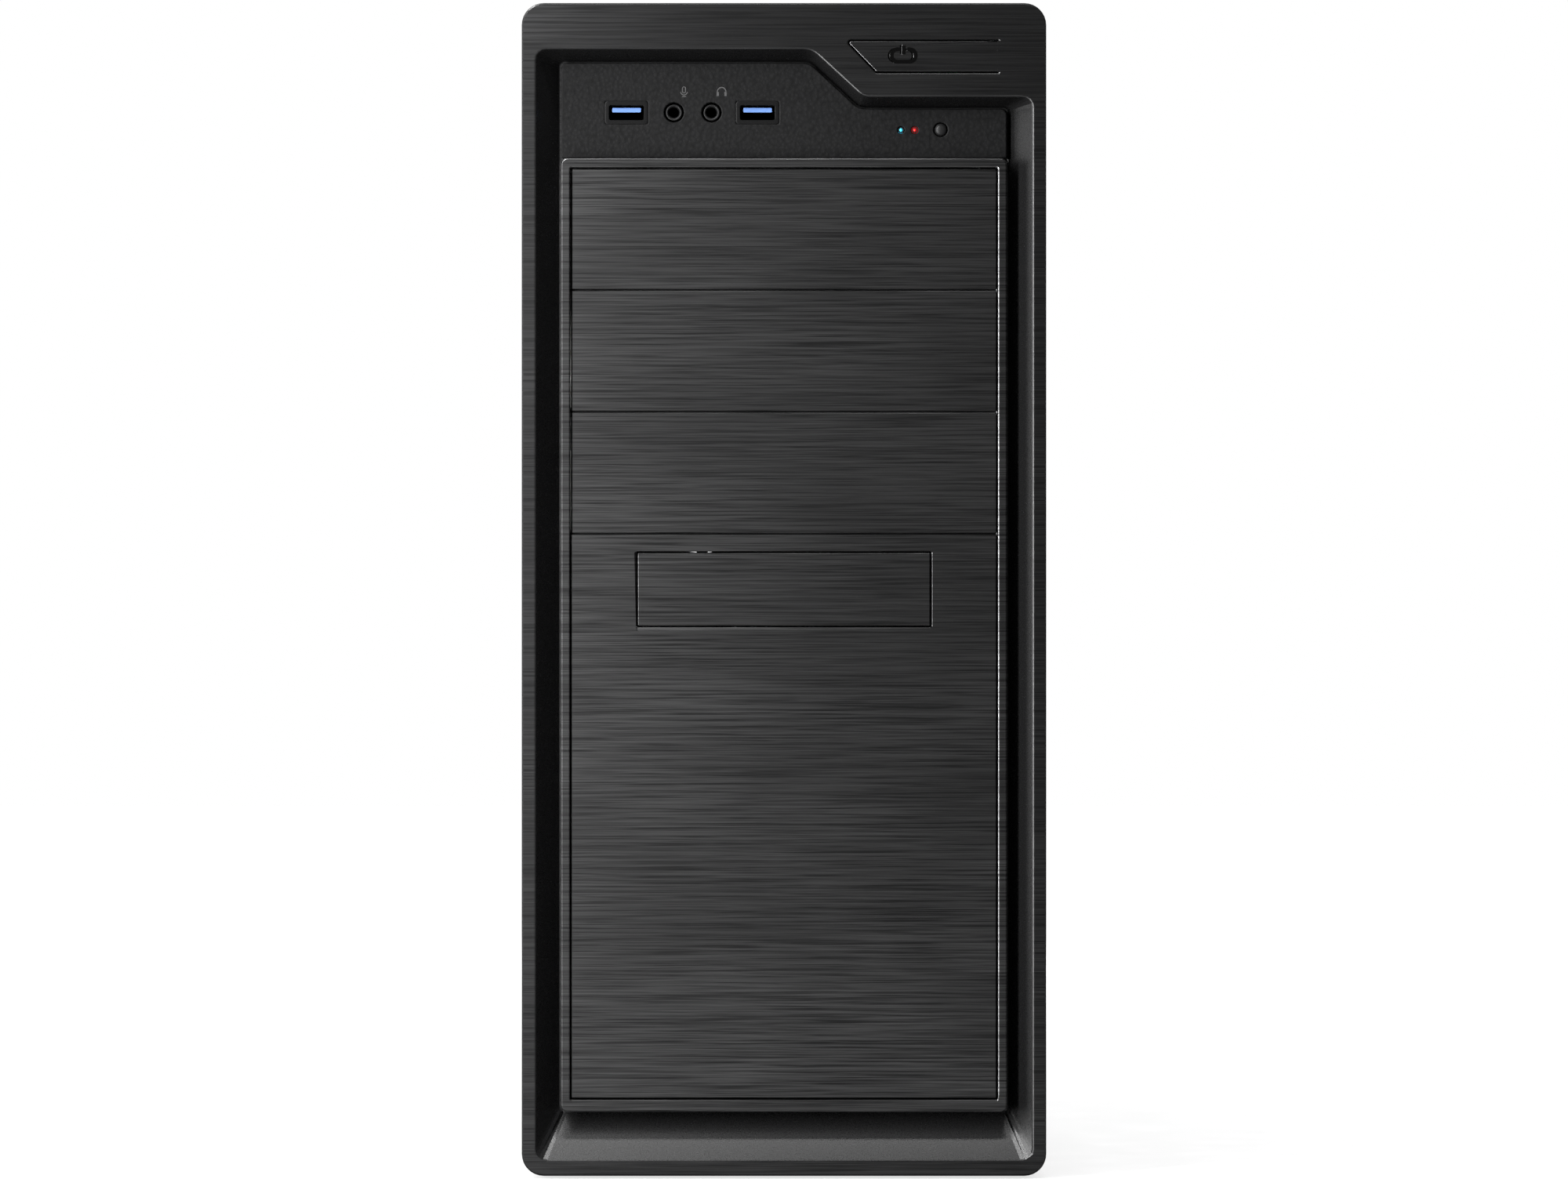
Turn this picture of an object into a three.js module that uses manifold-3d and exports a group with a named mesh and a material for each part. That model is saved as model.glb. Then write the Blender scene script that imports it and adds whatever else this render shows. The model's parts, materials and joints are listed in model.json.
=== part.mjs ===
// Desktop computer tower: a steel case with a moulded front, and the parts that make it a working computer.
// Millimetres. +X is to the right seen from the front, +Y towards the back, +Z up.
// The origin is on the floor under the middle of the case.
import * as THREE from "three";
import { mergeVertices } from "three/addons/utils/BufferGeometryUtils.js";
import Module from "manifold-3d";

// ---- Driving dimensions ----
const WIDTH = 182;
const HEIGHT = 408;
const DEPTH = 400;
const GAP = 0.3; // between pieces that touch
const SHEET = 1; // case steel
const PLASTIC = 2.4; // wall of a moulding
const BAY_PITCH = 42.33; // height of one 5.25 inch drive bay
const SLOT_PITCH = 20.32; // between expansion slots

// Levels along Y, from the front lip to the thumbscrew heads.
const FRONT = -DEPTH / 2;
const COVER_FACE = FRONT + 2;
const FRAME_FACE = FRONT + 1.5;
const IO_FACE = FRONT + 8.5;
const TROUGH_FLOOR = FRONT + 12;
const BEZEL_BACK = FRONT + 38;
const CASE_FRONT = BEZEL_BACK + 2;
const CASE_BACK = 187;
const BACK = DEPTH / 2;

// Levels along Z and X.
const BEZEL_BOTTOM = 1;
const CASE_BOTTOM = 9;
const CASE_TOP = HEIGHT - 4;
const CASE_SIDE = 90; // outer face of a side panel
const RAIL_SIDE = CASE_SIDE - SHEET - 0.5; // outer face of the covers' turned-down rails
const RAIL_STEP = 77; // where the top and bottom covers step in to take the side panels' hems
const WALL_SIDE = RAIL_SIDE - SHEET - GAP;
const WALL_BOTTOM = CASE_BOTTOM + 2 * SHEET + 2 * GAP;
const WALL_TOP = CASE_TOP - 2 * SHEET - 2 * GAP;

// ---- Solids ----
const wasm = await Module();
wasm.setup();

function toSolid(geometry) {
  const plain = geometry.clone();
  plain.deleteAttribute("normal");
  plain.deleteAttribute("uv");
  const merged = mergeVertices(plain, 1e-4);
  const vertProperties = new Float32Array(merged.attributes.position.array);
  const triVerts = new Uint32Array(merged.index.array);
  return new wasm.Manifold(new wasm.Mesh({ numProp: 3, vertProperties, triVerts }));
}

function toGeometry(solid) {
  const mesh = solid.getMesh();
  const geometry = new THREE.BufferGeometry();
  geometry.setAttribute("position", new THREE.BufferAttribute(mesh.vertProperties, 3));
  geometry.setIndex(new THREE.BufferAttribute(mesh.triVerts, 1));
  const faceted = geometry.toNonIndexed();
  faceted.computeVertexNormals();
  return faceted;
}

const sum = (geometries) => geometries.map(toSolid).reduce((all, next) => all.add(next));
const join = (...geometries) => toGeometry(sum(geometries));
const cut = (base, ...tools) => toGeometry(toSolid(base).subtract(sum(tools)));

// ---- Shapes ----
// An anticlockwise outline through corners [x, y, radius], each rounded by an arc of its own radius.
function outline(corners) {
  const path = new THREE.Shape();
  corners.forEach(([x, y, radius], i) => {
    const before = corners.at(i - 1);
    const after = corners[(i + 1) % corners.length];
    const here = new THREE.Vector2(x, y);
    const back = new THREE.Vector2(before[0], before[1]).sub(here).normalize();
    const ahead = new THREE.Vector2(after[0], after[1]).sub(here).normalize();
    const half = Math.acos(THREE.MathUtils.clamp(back.dot(ahead), -1, 1)) / 2;
    const inward = back.clone().add(ahead).normalize();
    const centre = here.clone().addScaledVector(inward, radius / Math.sin(half));
    const start = here.clone().addScaledVector(back, radius / Math.tan(half)).sub(centre);
    const end = here.clone().addScaledVector(ahead, radius / Math.tan(half)).sub(centre);
    path.absarc(centre.x, centre.y, radius, start.angle(), end.angle(), back.cross(ahead) > 0);
  });
  path.closePath();
  return path;
}

// The same corners moved outwards by a distance, or inwards if it is negative.
function grown(corners, distance) {
  return corners.map(([x, y, radius], i) => {
    const before = corners.at(i - 1);
    const after = corners[(i + 1) % corners.length];
    const into = new THREE.Vector2(x - before[0], y - before[1]).normalize();
    const out = new THREE.Vector2(after[0] - x, after[1] - y).normalize();
    const share = distance / (1 + into.dot(out));
    const newRadius = radius + Math.sign(into.cross(out)) * distance;
    return [x + (into.y + out.y) * share, y - (into.x + out.x) * share, Math.max(newRadius, 0.2)];
  });
}

// Four corners of a rectangle.
function rectangle(x0, x1, y0, y1, radius) {
  return [[x0, y0, radius], [x1, y0, radius], [x1, y1, radius], [x0, y1, radius]];
}

const polygon = (points) => new THREE.Shape(points.map(([x, y]) => new THREE.Vector2(x, y)));

function circle(x, y, radius) {
  return new THREE.Shape().absarc(x, y, radius, 0, 2 * Math.PI);
}

const extrusion = (shape, depth, curveSegments) =>
  new THREE.ExtrudeGeometry(shape, { depth, curveSegments, bevelEnabled: false });

// A shape drawn in X and Z, filled from y0 to y1.
const alongY = (shape, y0, y1, smooth = 2) =>
  extrusion(shape, y1 - y0, smooth).rotateX(Math.PI / 2).translate(0, y1, 0);

// A shape drawn in Y and Z, filled from x0 to x1.
const alongX = (shape, x0, x1, smooth = 3) =>
  extrusion(shape, x1 - x0, smooth).rotateX(Math.PI / 2).rotateZ(Math.PI / 2).translate(x0, 0, 0);

function box(x0, x1, y0, y1, z0, z1) {
  const block = new THREE.BoxGeometry(x1 - x0, y1 - y0, z1 - z0);
  return block.translate((x0 + x1) / 2, (y0 + y1) / 2, (z0 + z1) / 2);
}

// A round bar along Y, centred on x and z.
const barY = (x, z, radius, y0, y1, sides = 16) =>
  new THREE.CylinderGeometry(radius, radius, y1 - y0, sides).translate(x, (y0 + y1) / 2, z);

// A round bar along X, centred on y and z.
const barX = (y, z, radius, x0, x1, sides = 12) =>
  new THREE.CylinderGeometry(radius, radius, x1 - x0, sides)
    .rotateZ(Math.PI / 2)
    .translate((x0 + x1) / 2, y, z);

// A solid that runs from one set of corners at y0 to another with as many corners at y1.
function loft(corners0, y0, corners1, y1, smooth = 2) {
  const front = outline(corners0).extractPoints(smooth).shape;
  const back = outline(corners1).extractPoints(smooth).shape;
  const count = front.length;
  const vertices = [...front.map((p) => [p.x, y0, p.y]), ...back.map((p) => [p.x, y1, p.y])];
  const faces = THREE.ShapeUtils.triangulateShape(front, []).flatMap(([a, b, c]) => [
    [a, b, c],
    [count + a, count + c, count + b],
  ]);
  front.forEach((_, i) => {
    const next = (i + 1) % count;
    faces.push([i, count + i, next], [next, count + i, count + next]);
  });
  const geometry = new THREE.BufferGeometry();
  geometry.setAttribute("position", new THREE.Float32BufferAttribute(vertices.flat(), 3));
  geometry.setIndex(faces.flat());
  return geometry;
}

// ---- Materials ----
const surface = (color, roughness, metalness) => () =>
  new THREE.MeshStandardMaterial({ color, roughness, metalness, flatShading: true });
const brushedBlack = surface(0x2f2f31, 0.4, 0.3);
const mattBlack = surface(0x1b1b1c, 0.6, 0);
const softBlack = surface(0x161616, 0.85, 0);
const paintedSteel = surface(0x1d1d1f, 0.5, 0.4);
const bareSteel = surface(0xa7abad, 0.42, 0.85);
const brightSteel = surface(0xc9cbcc, 0.25, 0.95);
const aluminium = surface(0xb9bcbf, 0.35, 0.9);
const boardGreen = surface(0x1d5a38, 0.5, 0.05);
const cyanLens = surface(0x3cc8eb, 0.25, 0);
const redLens = surface(0xe11414, 0.25, 0);
const cableBlack = surface(0x202022, 0.7, 0);
const cableRed = surface(0x8d1a1a, 0.6, 0);

const tower = new THREE.Group();

function add(name, geometry, material, parent = tower) {
  const mesh = new THREE.Mesh(geometry, material());
  mesh.name = name;
  parent.add(mesh);
  return mesh;
}

// ---- Front moulding ----
const bezelCorners = rectangle(-WIDTH / 2, WIDTH / 2, BEZEL_BOTTOM, HEIGHT, 7.6);
// The trough's top edge steps down on the right, under the power button.
const lipCorners = [
  [-86.2, 5.6, 3.5],
  [86.2, 5.6, 3.5],
  [86.2, 375, 3],
  [27.4, 375, 7],
  [9.4, 391.6, 7],
  [-86.2, 391.6, 3],
];
const floorCorners = [
  [-78.2, 22.4, 2.6],
  [78.2, 22.4, 2.6],
  [78.2, 372.4, 2],
  [26.3, 372.4, 6],
  [9, 388.4, 6],
  [-78.2, 388.4, 2],
];
const ioCorners = [
  [-77.4, 354.6, 0.6],
  [77.4, 354.6, 0.6],
  [77.4, 371.7, 2],
  [26, 371.7, 6],
  [8.7, 387.7, 6],
  [-77.4, 387.7, 1.8],
];
const frameCorners = rectangle(-77.4, 77.4, 23.2, 354.3, 2.3);
const windowCorners = rectangle(-74.2, 74.2, 27.4, 351, 0.6);
const powerButtonCorners = [
  [21.4, 395, 0.8],
  [32, 384, 0.8],
  [74.5, 384, 0.3],
  [74.5, 395, 0.3],
];
const POWER_GROOVE = 0.25; // half the groove round the power button
const POWER_HINGE_GAP = 0.1; // half the gap at the button's hinged end
const TROUGH_FLARE = 0.7; // how far the trough widens over 1 mm at the lip
const CLIP_HEIGHTS = [60, 200, 340];
const CLIP_HALF = 5;
const CLIP_X = { barb: 84.6, inner: 85.4, outer: 87, wall: 89 };

// The hole in the bezel behind the centre frame and the socket panel.
const bezelWindow = [
  [-75, 25.6, 1],
  [75, 25.6, 1],
  [75, 369.3, 1],
  [25, 369.3, 4],
  [7.7, 385.3, 4],
  [-75, 385.3, 1],
];

// A springy clip that reaches through a slot in the front wall.
function bezelClip(side, z) {
  const along = (x0, x1, y0, y1) => {
    const edges = [side * x0, side * x1].sort((a, b) => a - b);
    return box(...edges, y0, y1, z - CLIP_HALF, z + CLIP_HALF);
  };
  const front = BEZEL_BACK - 14;
  const root = along(CLIP_X.inner, CLIP_X.wall, front, BEZEL_BACK - 2);
  const stem = along(CLIP_X.inner, CLIP_X.outer, front, CASE_FRONT + 5);
  const barb = along(CLIP_X.barb, CLIP_X.inner + 0.1, CASE_FRONT + SHEET + GAP, CASE_FRONT + 4);
  return join(root, stem, barb);
}

function frontBezel() {
  const block = alongY(outline(bezelCorners), FRONT, BEZEL_BACK, 4);
  const trough = loft(grown(lipCorners, TROUGH_FLARE), FRONT - 1, floorCorners, TROUGH_FLOOR);
  const outerLip = grown(lipCorners, PLASTIC);
  const outerFloor = grown(floorCorners, PLASTIC);
  const troughWall = loft(outerLip, FRONT, outerFloor, TROUGH_FLOOR + PLASTIC);
  const insideCorners = grown(bezelCorners, -PLASTIC);
  const hollow = cut(alongY(outline(insideCorners), FRONT + PLASTIC, BEZEL_BACK + 1), troughWall);
  const window = alongY(outline(bezelWindow), TROUGH_FLOOR - 1, TROUGH_FLOOR + 2 * PLASTIC);
  const buttonHole = alongY(outline(powerHoleCorners()), FRONT - 1, FRONT + 2 * PLASTIC);
  const shell = cut(block, trough, hollow, window, buttonHole);
  const clips = CLIP_HEIGHTS.flatMap((z) => [bezelClip(1, z), bezelClip(-1, z)]);
  return join(shell, ...clips);
}

// The button's outline with a groove on three sides and a finer gap at the hinged end.
function powerHoleCorners() {
  const hole = grown(powerButtonCorners, POWER_GROOVE);
  hole[2][0] = hole[3][0] = powerButtonCorners[2][0] + POWER_HINGE_GAP;
  return hole;
}

function powerButton() {
  const face = grown(powerButtonCorners, -POWER_GROOVE);
  face[2][0] = face[3][0] = powerButtonCorners[2][0] - POWER_HINGE_GAP;
  const flap = alongY(outline(face), FRONT, FRONT + PLASTIC);
  const marked = cut(flap, powerMark());
  const postEnd = SWITCH_FACE - POWER_TRAVEL - GAP;
  const post = barY(POWER_SWITCH_X, POWER_SWITCH_Z, 2, FRONT + PLASTIC - 0.5, postEnd, 12);
  return join(marked, post);
}

// The cutter for the button's mark: a flattened ring with a gap at the top, and a bar standing in the gap.
const POWER_MARK = { x0: 36.2, x1: 45.2, z0: 387.3, z1: 392.3, stroke: 0.7, gap: 2.8, deep: 0.5 };

function powerMark() {
  const { x0, x1, z0, z1, stroke, gap, deep } = POWER_MARK;
  const middle = (x0 + x1) / 2;
  const centre = (z0 + z1) / 2;
  const upright = (width, front, back, bottom, top) =>
    box(middle - width / 2, middle + width / 2, front, back, bottom, top);
  const ring = rectangle(x0, x1, z0, z1, 2.4);
  const groove = cut(
    alongY(outline(ring), FRONT - 1, FRONT + deep),
    alongY(outline(grown(ring, -stroke)), FRONT - 2, FRONT + 1),
    upright(gap, FRONT - 2, FRONT + 1, centre, z1 + 1),
  );
  return join(groove, upright(stroke, FRONT - 1, FRONT + deep, centre + 0.4, z1 + 1.1));
}

// ---- Sockets, lamps and switches behind the socket panel ----
const USB_Z = 370.4;
const USB_X = [-54.8, -9.2];
const USB_MOUTH = [13.8, 6.8];
const JACK_Z = 370.5;
const JACK_X = [-38.3, -25.2];
const JACK_RADIUS = 1.77;
const LAMP_Z = 364.4;
const LAMP_X = [40.7, 45.5];
const RESET_X = 54.5;
const RESET_Z = 364.5;
const RESET_TRAVEL = 1.2;
const POWER_SWITCH_X = 40.7;
const POWER_SWITCH_Z = 389.5;
const POWER_TRAVEL = 1.3; // at the switch, which is nearer the hinge than the button's tip is
const SWITCH_BOARD_Y = FRONT + 24;
const SWITCH_FACE = SWITCH_BOARD_Y - 4.3; // front of the tact switches
const BOARD = 1.6; // circuit board
const SOCKET_BOARD = { x0: -68, x1: 2, top: 366.3 };
const SWITCH_BOARD = { x0: 34, x1: 62, z0: 358, z1: 396 };
const SHELF = { x0: -70, x1: 66, top: SOCKET_BOARD.top - BOARD - GAP };

const usbCorners = (x, margin) =>
  rectangle(
    x - USB_MOUTH[0] / 2 - margin,
    x + USB_MOUTH[0] / 2 + margin,
    USB_Z - USB_MOUTH[1] / 2 - margin,
    USB_Z + USB_MOUTH[1] / 2 + margin,
    0.5,
  );

function ioPanel() {
  const back = TROUGH_FLOOR - GAP;
  const plate = alongY(outline(ioCorners), IO_FACE, back);
  const hollow = alongY(outline(grown(ioCorners, -PLASTIC - 2)), IO_FACE + PLASTIC, back + 1);
  const through = IO_FACE + PLASTIC + 1;
  const usbHoles = USB_X.flatMap((x) => [
    loft(usbCorners(x, 1), IO_FACE - 0.5, usbCorners(x, 0), IO_FACE + 1),
    alongY(outline(usbCorners(x, 0)), IO_FACE, through),
  ]);
  const jackHoles = JACK_X.map((x) => barY(x, JACK_Z, 3.5, IO_FACE - 1, through, 16));
  const lampHoles = LAMP_X.map((x) => barY(x, LAMP_Z, 1.3, IO_FACE - 1, through, 10));
  const resetHole = barY(RESET_X, RESET_Z, 2.5, IO_FACE - 1, through, 16);
  return cut(plate, hollow, ...usbHoles, ...jackHoles, ...lampHoles, resetHole);
}

function lampLens(x) {
  const profile = [
    [0, 0],
    [0.6, 0.1],
    [1, 0.5],
    [1, PLASTIC + 0.6],
    [1.8, PLASTIC + 0.6],
    [1.8, SWITCH_FACE - IO_FACE - 0.4],
    [0, SWITCH_FACE - IO_FACE - 0.4],
  ];
  const points = profile.map(([radius, along]) => new THREE.Vector2(radius, along));
  return new THREE.LatheGeometry(points, 10).translate(x, IO_FACE - 0.1, LAMP_Z);
}

function resetButton() {
  const back = SWITCH_FACE - RESET_TRAVEL - GAP;
  const profile = [
    [0, 0],
    [1.3, 0.15],
    [2.2, 0.8],
    [2.2, PLASTIC + 1.2],
    [3.6, PLASTIC + 1.2],
    [3.6, PLASTIC + 2.4],
    [1.6, PLASTIC + 2.4],
    [1.6, back - IO_FACE],
    [0, back - IO_FACE],
  ];
  const points = profile.map(([radius, along]) => new THREE.Vector2(radius, along));
  return new THREE.LatheGeometry(points, 16).translate(RESET_X, IO_FACE, RESET_Z);
}

// A receptacle's metal shell with its contact tongue, open to the front.
function usbPort(x) {
  const front = IO_FACE + 1.4;
  const back = front + 14;
  const shell = grown(usbCorners(x, 0), -0.4);
  const body = alongY(outline(shell), front, back);
  const mouth = alongY(outline(grown(shell, -0.6)), front - 1, back - 2);
  const tongue = box(x - 5.1, x + 5.1, front + 0.6, back - 1, USB_Z - 0.1, USB_Z + 1.6);
  return join(cut(body, mouth), tongue);
}

function audioJack(x) {
  const front = IO_FACE + 1;
  const nose = barY(x, JACK_Z, 2.9, front, front + 4, 20);
  const body = box(x - 3.6, x + 3.6, front + 3.5, front + 14, SOCKET_BOARD.top + GAP, JACK_Z + 3.2);
  return cut(join(nose, body), barY(x, JACK_Z, JACK_RADIUS, front - 1, front + 12, 16));
}

function socketBoard() {
  const { x0, x1, top } = SOCKET_BOARD;
  return box(x0, x1, IO_FACE + 4, CASE_FRONT + 12, top - BOARD, top);
}

function switchBoard() {
  const { x0, x1, z0, z1 } = SWITCH_BOARD;
  const board = box(x0, x1, SWITCH_BOARD_Y, SWITCH_BOARD_Y + BOARD, z0, z1);
  const tact = (x, z) => box(x - 3, x + 3, SWITCH_FACE, SWITCH_BOARD_Y + 0.5, z - 3, z + 3);
  return join(board, tact(POWER_SWITCH_X, POWER_SWITCH_Z), tact(RESET_X, RESET_Z));
}

// A shelf under the socket board, turned down against the front wall, with a plate behind the switch board.
function ioBracket() {
  const { x0, x1, top } = SHELF;
  const wall = CASE_FRONT - GAP;
  const shelf = box(x0, x1, IO_FACE + 6, wall, top - SHEET, top);
  const turnedDown = box(x0, x1, wall - SHEET, wall, top - 10.4, top);
  const behind = SWITCH_BOARD_Y + BOARD + GAP;
  const plate = box(SWITCH_BOARD.x0, SWITCH_BOARD.x1, behind, behind + SHEET, top - 0.5, SWITCH_BOARD.z1);
  const clear = box(SWITCH_BOARD.x0 - 2, SWITCH_BOARD.x1 + 2, FRONT, behind, top - 20, top + 40);
  return cut(join(shelf, turnedDown, plate), clear);
}

// ---- Centre frame, bay covers and lower panel ----
const BAY_TOP = windowCorners[2][1];
const BAY_LINES = [1, 2, 3].map((bay) => BAY_TOP - 0.2 - BAY_PITCH * bay);
const COVER_GAP = 0.5; // the dark line round each cover
const CROSSBAR_FRONT = COVER_FACE + PLASTIC + 1;
const SMALL_COVER = { x0: -51, x1: 51, z0: 191.6, z1: 217.4 };

function centreFrame() {
  const back = TROUGH_FLOOR - GAP;
  const ring = cut(
    alongY(outline(frameCorners), FRAME_FACE, back),
    alongY(outline(windowCorners), FRAME_FACE - 1, back + 1),
  );
  const side = windowCorners[1][0] + 0.8;
  const bars = BAY_LINES.map((z) => box(-side, side, CROSSBAR_FRONT, back, z - 1.6, z + 1.6));
  return join(ring, ...bars);
}

// A shallow tray: a front plate with an upright rim behind it.
const TRAY_DEPTH = 9;

function tray(x0, x1, z0, z1) {
  const rim = 2.6; // how far in the upright rim stands
  const inside = rim + 1.6;
  const back = COVER_FACE + TRAY_DEPTH;
  const plate = box(x0, x1, COVER_FACE, COVER_FACE + PLASTIC, z0, z1);
  const wall = box(x0 + rim, x1 - rim, COVER_FACE + 1, back, z0 + rim, z1 - rim);
  const hollow = box(x0 + inside, x1 - inside, COVER_FACE + PLASTIC, back + 1, z0 + inside, z1 - inside);
  return cut(join(plate, wall), hollow);
}

function bayCover(index) {
  const half = COVER_GAP / 2;
  const top = index === 0 ? BAY_TOP - COVER_GAP : BAY_LINES[index - 1] - half;
  const bottom = BAY_LINES[index] + half;
  const side = windowCorners[1][0] - COVER_GAP;
  const middle = (top + bottom) / 2;
  const clipBack = COVER_FACE + TRAY_DEPTH + 8;
  const clip = (x) => box(x - 1.2, x + 1.2, COVER_FACE + 5, clipBack, middle - 6, middle + 6);
  return join(tray(-side, side, bottom, top), clip(-side + 4), clip(side - 4));
}

function lowerPanel() {
  const side = windowCorners[1][0] - COVER_GAP;
  const { x0, x1, z0, z1 } = SMALL_COVER;
  const sheet = tray(-side, side, windowCorners[0][1] + COVER_GAP, BAY_LINES[2] - COVER_GAP / 2);
  const collar = box(x0 - 2, x1 + 2, COVER_FACE + 1, COVER_FACE + TRAY_DEPTH, z0 - 2, z1 + 2);
  const half = COVER_GAP / 2;
  const hole = box(x0 - half, x1 + half, FRONT, FRONT + 20, z0 - half, z1 + half);
  return cut(join(sheet, collar), hole);
}

function smallBayCover() {
  const half = COVER_GAP / 2;
  const { x0, x1, z0, z1 } = SMALL_COVER;
  return tray(x0 + half, x1 - half, z0 + half, z1 - half);
}

// ---- Steel case ----
// The section of the top or bottom cover: a flat middle, a step for a side panel's hem, and a rail turned in.
function coverSection(outerZ, inward) {
  const rail = 14;
  const step = SHEET + GAP;
  const half = [
    [RAIL_STEP, 0],
    [RAIL_STEP, step],
    [RAIL_SIDE, step],
    [RAIL_SIDE, rail],
    [RAIL_SIDE - SHEET, rail],
    [RAIL_SIDE - SHEET, step + SHEET],
    [RAIL_STEP - SHEET, step + SHEET],
    [RAIL_STEP - SHEET, SHEET],
  ];
  const right = half.map(([x, depth]) => [x, outerZ + inward * depth]);
  const left = right.map(([x, z]) => [-x, z]).reverse();
  return polygon([...right, ...left]);
}

// A side panel: a flat side with a hem at its top and bottom, and a flange that screws to the rear wall.
const PANEL_FRONT = BEZEL_BACK + 0.5;
const FLANGE = CASE_BACK + GAP;
const HEM = CASE_SIDE - RAIL_STEP - 0.6;
const SCREW_X = 83.5;
const SCREW_Z = [60, 352];
const SCREW_HOLE = 2.1;

// Drawn for the right side.
function sidePanel() {
  const hemEnd = CASE_SIDE - HEM;
  const inner = CASE_SIDE - SHEET;
  const section = [
    [CASE_SIDE, CASE_BOTTOM],
    [CASE_SIDE, CASE_TOP],
    [hemEnd, CASE_TOP],
    [hemEnd, CASE_TOP - SHEET],
    [inner, CASE_TOP - SHEET],
    [inner, CASE_BOTTOM + SHEET],
    [hemEnd, CASE_BOTTOM + SHEET],
    [hemEnd, CASE_BOTTOM],
  ];
  const wrap = alongY(polygon(section), PANEL_FRONT, FLANGE + SHEET);
  const inset = SHEET / 2; // keeps the flange's edges inside the wrap
  const bottom = CASE_BOTTOM + inset;
  const flange = box(hemEnd, inner + inset, FLANGE, FLANGE + SHEET, bottom, CASE_TOP - inset);
  const holes = SCREW_Z.map((z) => barY(SCREW_X, z, SCREW_HOLE, FLANGE - 1, FLANGE + 2, 12));
  return cut(join(wrap, flange), ...holes);
}

// A thumbscrew with a ribbed head.
function thumbscrew(x, z) {
  const ribs = 12;
  const rim = Array.from({ length: 2 * ribs }, (_, i) => {
    const angle = (i * Math.PI) / ribs;
    const radius = i % 2 ? 5.5 : 5;
    return [x + radius * Math.cos(angle), z + radius * Math.sin(angle)];
  });
  const headFront = FLANGE + SHEET + GAP;
  const head = alongY(polygon(rim), headFront + 1.5, BACK - 0.8);
  const collar = barY(x, z, 4.2, headFront, BACK, 12);
  const shank = barY(x, z, 1.7, CASE_BACK - SHEET - 4, headFront + 1, 8);
  return join(head, collar, shank);
}

// Cutters for a stamped grille: rings of slots with four spokes left standing.
function ringGrille(x, z, radius, y0, y1) {
  const spoke = 2.2;
  const bar = 3;
  const slot = 7.5;
  const sides = 24;
  const rings = [];
  for (let outer = radius; outer - slot > 8; outer -= slot + bar) {
    rings.push(cut(barY(x, z, outer, y0, y1, sides), barY(x, z, outer - slot, y0 - 1, y1 + 1, sides)));
  }
  const across = box(x - radius, x + radius, y0 - 1, y1 + 1, z - spoke, z + spoke);
  const upright = box(x - spoke, x + spoke, y0 - 1, y1 + 1, z - radius, z + radius);
  return rings.map((ring) => cut(ring, across, upright));
}

const PSU = { x0: -75, x1: 75, y0: 45.7, y1: CASE_BACK - SHEET - GAP, z0: 315.2, z1: 401.2 };
const IO_WINDOW = { x0: 32, x1: 76.6, z0: 152, z1: 311 };
const REAR_FAN = { x: -32, z: 262, size: 92, thick: 25 };
const SLOT_TOP = 139.5; // middle of the highest expansion slot
const SLOTS = 7;
const SLOT_COVER = { x0: -38, x1: 62, half: 5.8, cut: 1.2 }; // the cut that parts it from the wall

function rearWall() {
  const inner = CASE_BACK - SHEET;
  const y0 = inner - 1;
  const y1 = CASE_BACK + 1;
  const sheet = box(-WALL_SIDE, WALL_SIDE, inner, CASE_BACK, WALL_BOTTOM, WALL_TOP);
  const psuWindow = box(PSU.x0 + 5, PSU.x1 - 5, y0, y1, PSU.z0 + 5, PSU.z1 - 5);
  const ioWindow = box(IO_WINDOW.x0, IO_WINDOW.x1, y0, y1, IO_WINDOW.z0, IO_WINDOW.z1);
  const grille = ringGrille(REAR_FAN.x, REAR_FAN.z, REAR_FAN.size / 2 - 3, y0, y1);
  const slots = [];
  for (let slot = 0; slot < SLOTS; slot += 1) {
    const z = SLOT_TOP - slot * SLOT_PITCH;
    const { x0, x1, half } = SLOT_COVER;
    slots.push(box(x0, x1, y0, y1, z + half, z + half + SLOT_COVER.cut));
    slots.push(box(x0, x1, y0, y1, z - half - SLOT_COVER.cut, z - half));
  }
  const screwHole = (x, z) => barY(x, z, SCREW_HOLE, y0, y1, 12);
  const screws = SCREW_Z.flatMap((z) => [screwHole(-SCREW_X, z), screwHole(SCREW_X, z)]);
  return cut(sheet, psuWindow, ioWindow, ...grille, ...slots, ...screws);
}

// ---- Front wall and drive cages ----
const BAYS = { side: 74.8, z0: BAY_LINES[2] + 0.8, z1: BAY_TOP - 0.5, back: 8 };
const SMALL_BAYS = { side: 51.4, z0: 158, z1: 220, back: -6 };
const WALL_VENTS = { count: 5, pitch: 18, height: 10, side: 40, middle: 90 };

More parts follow.
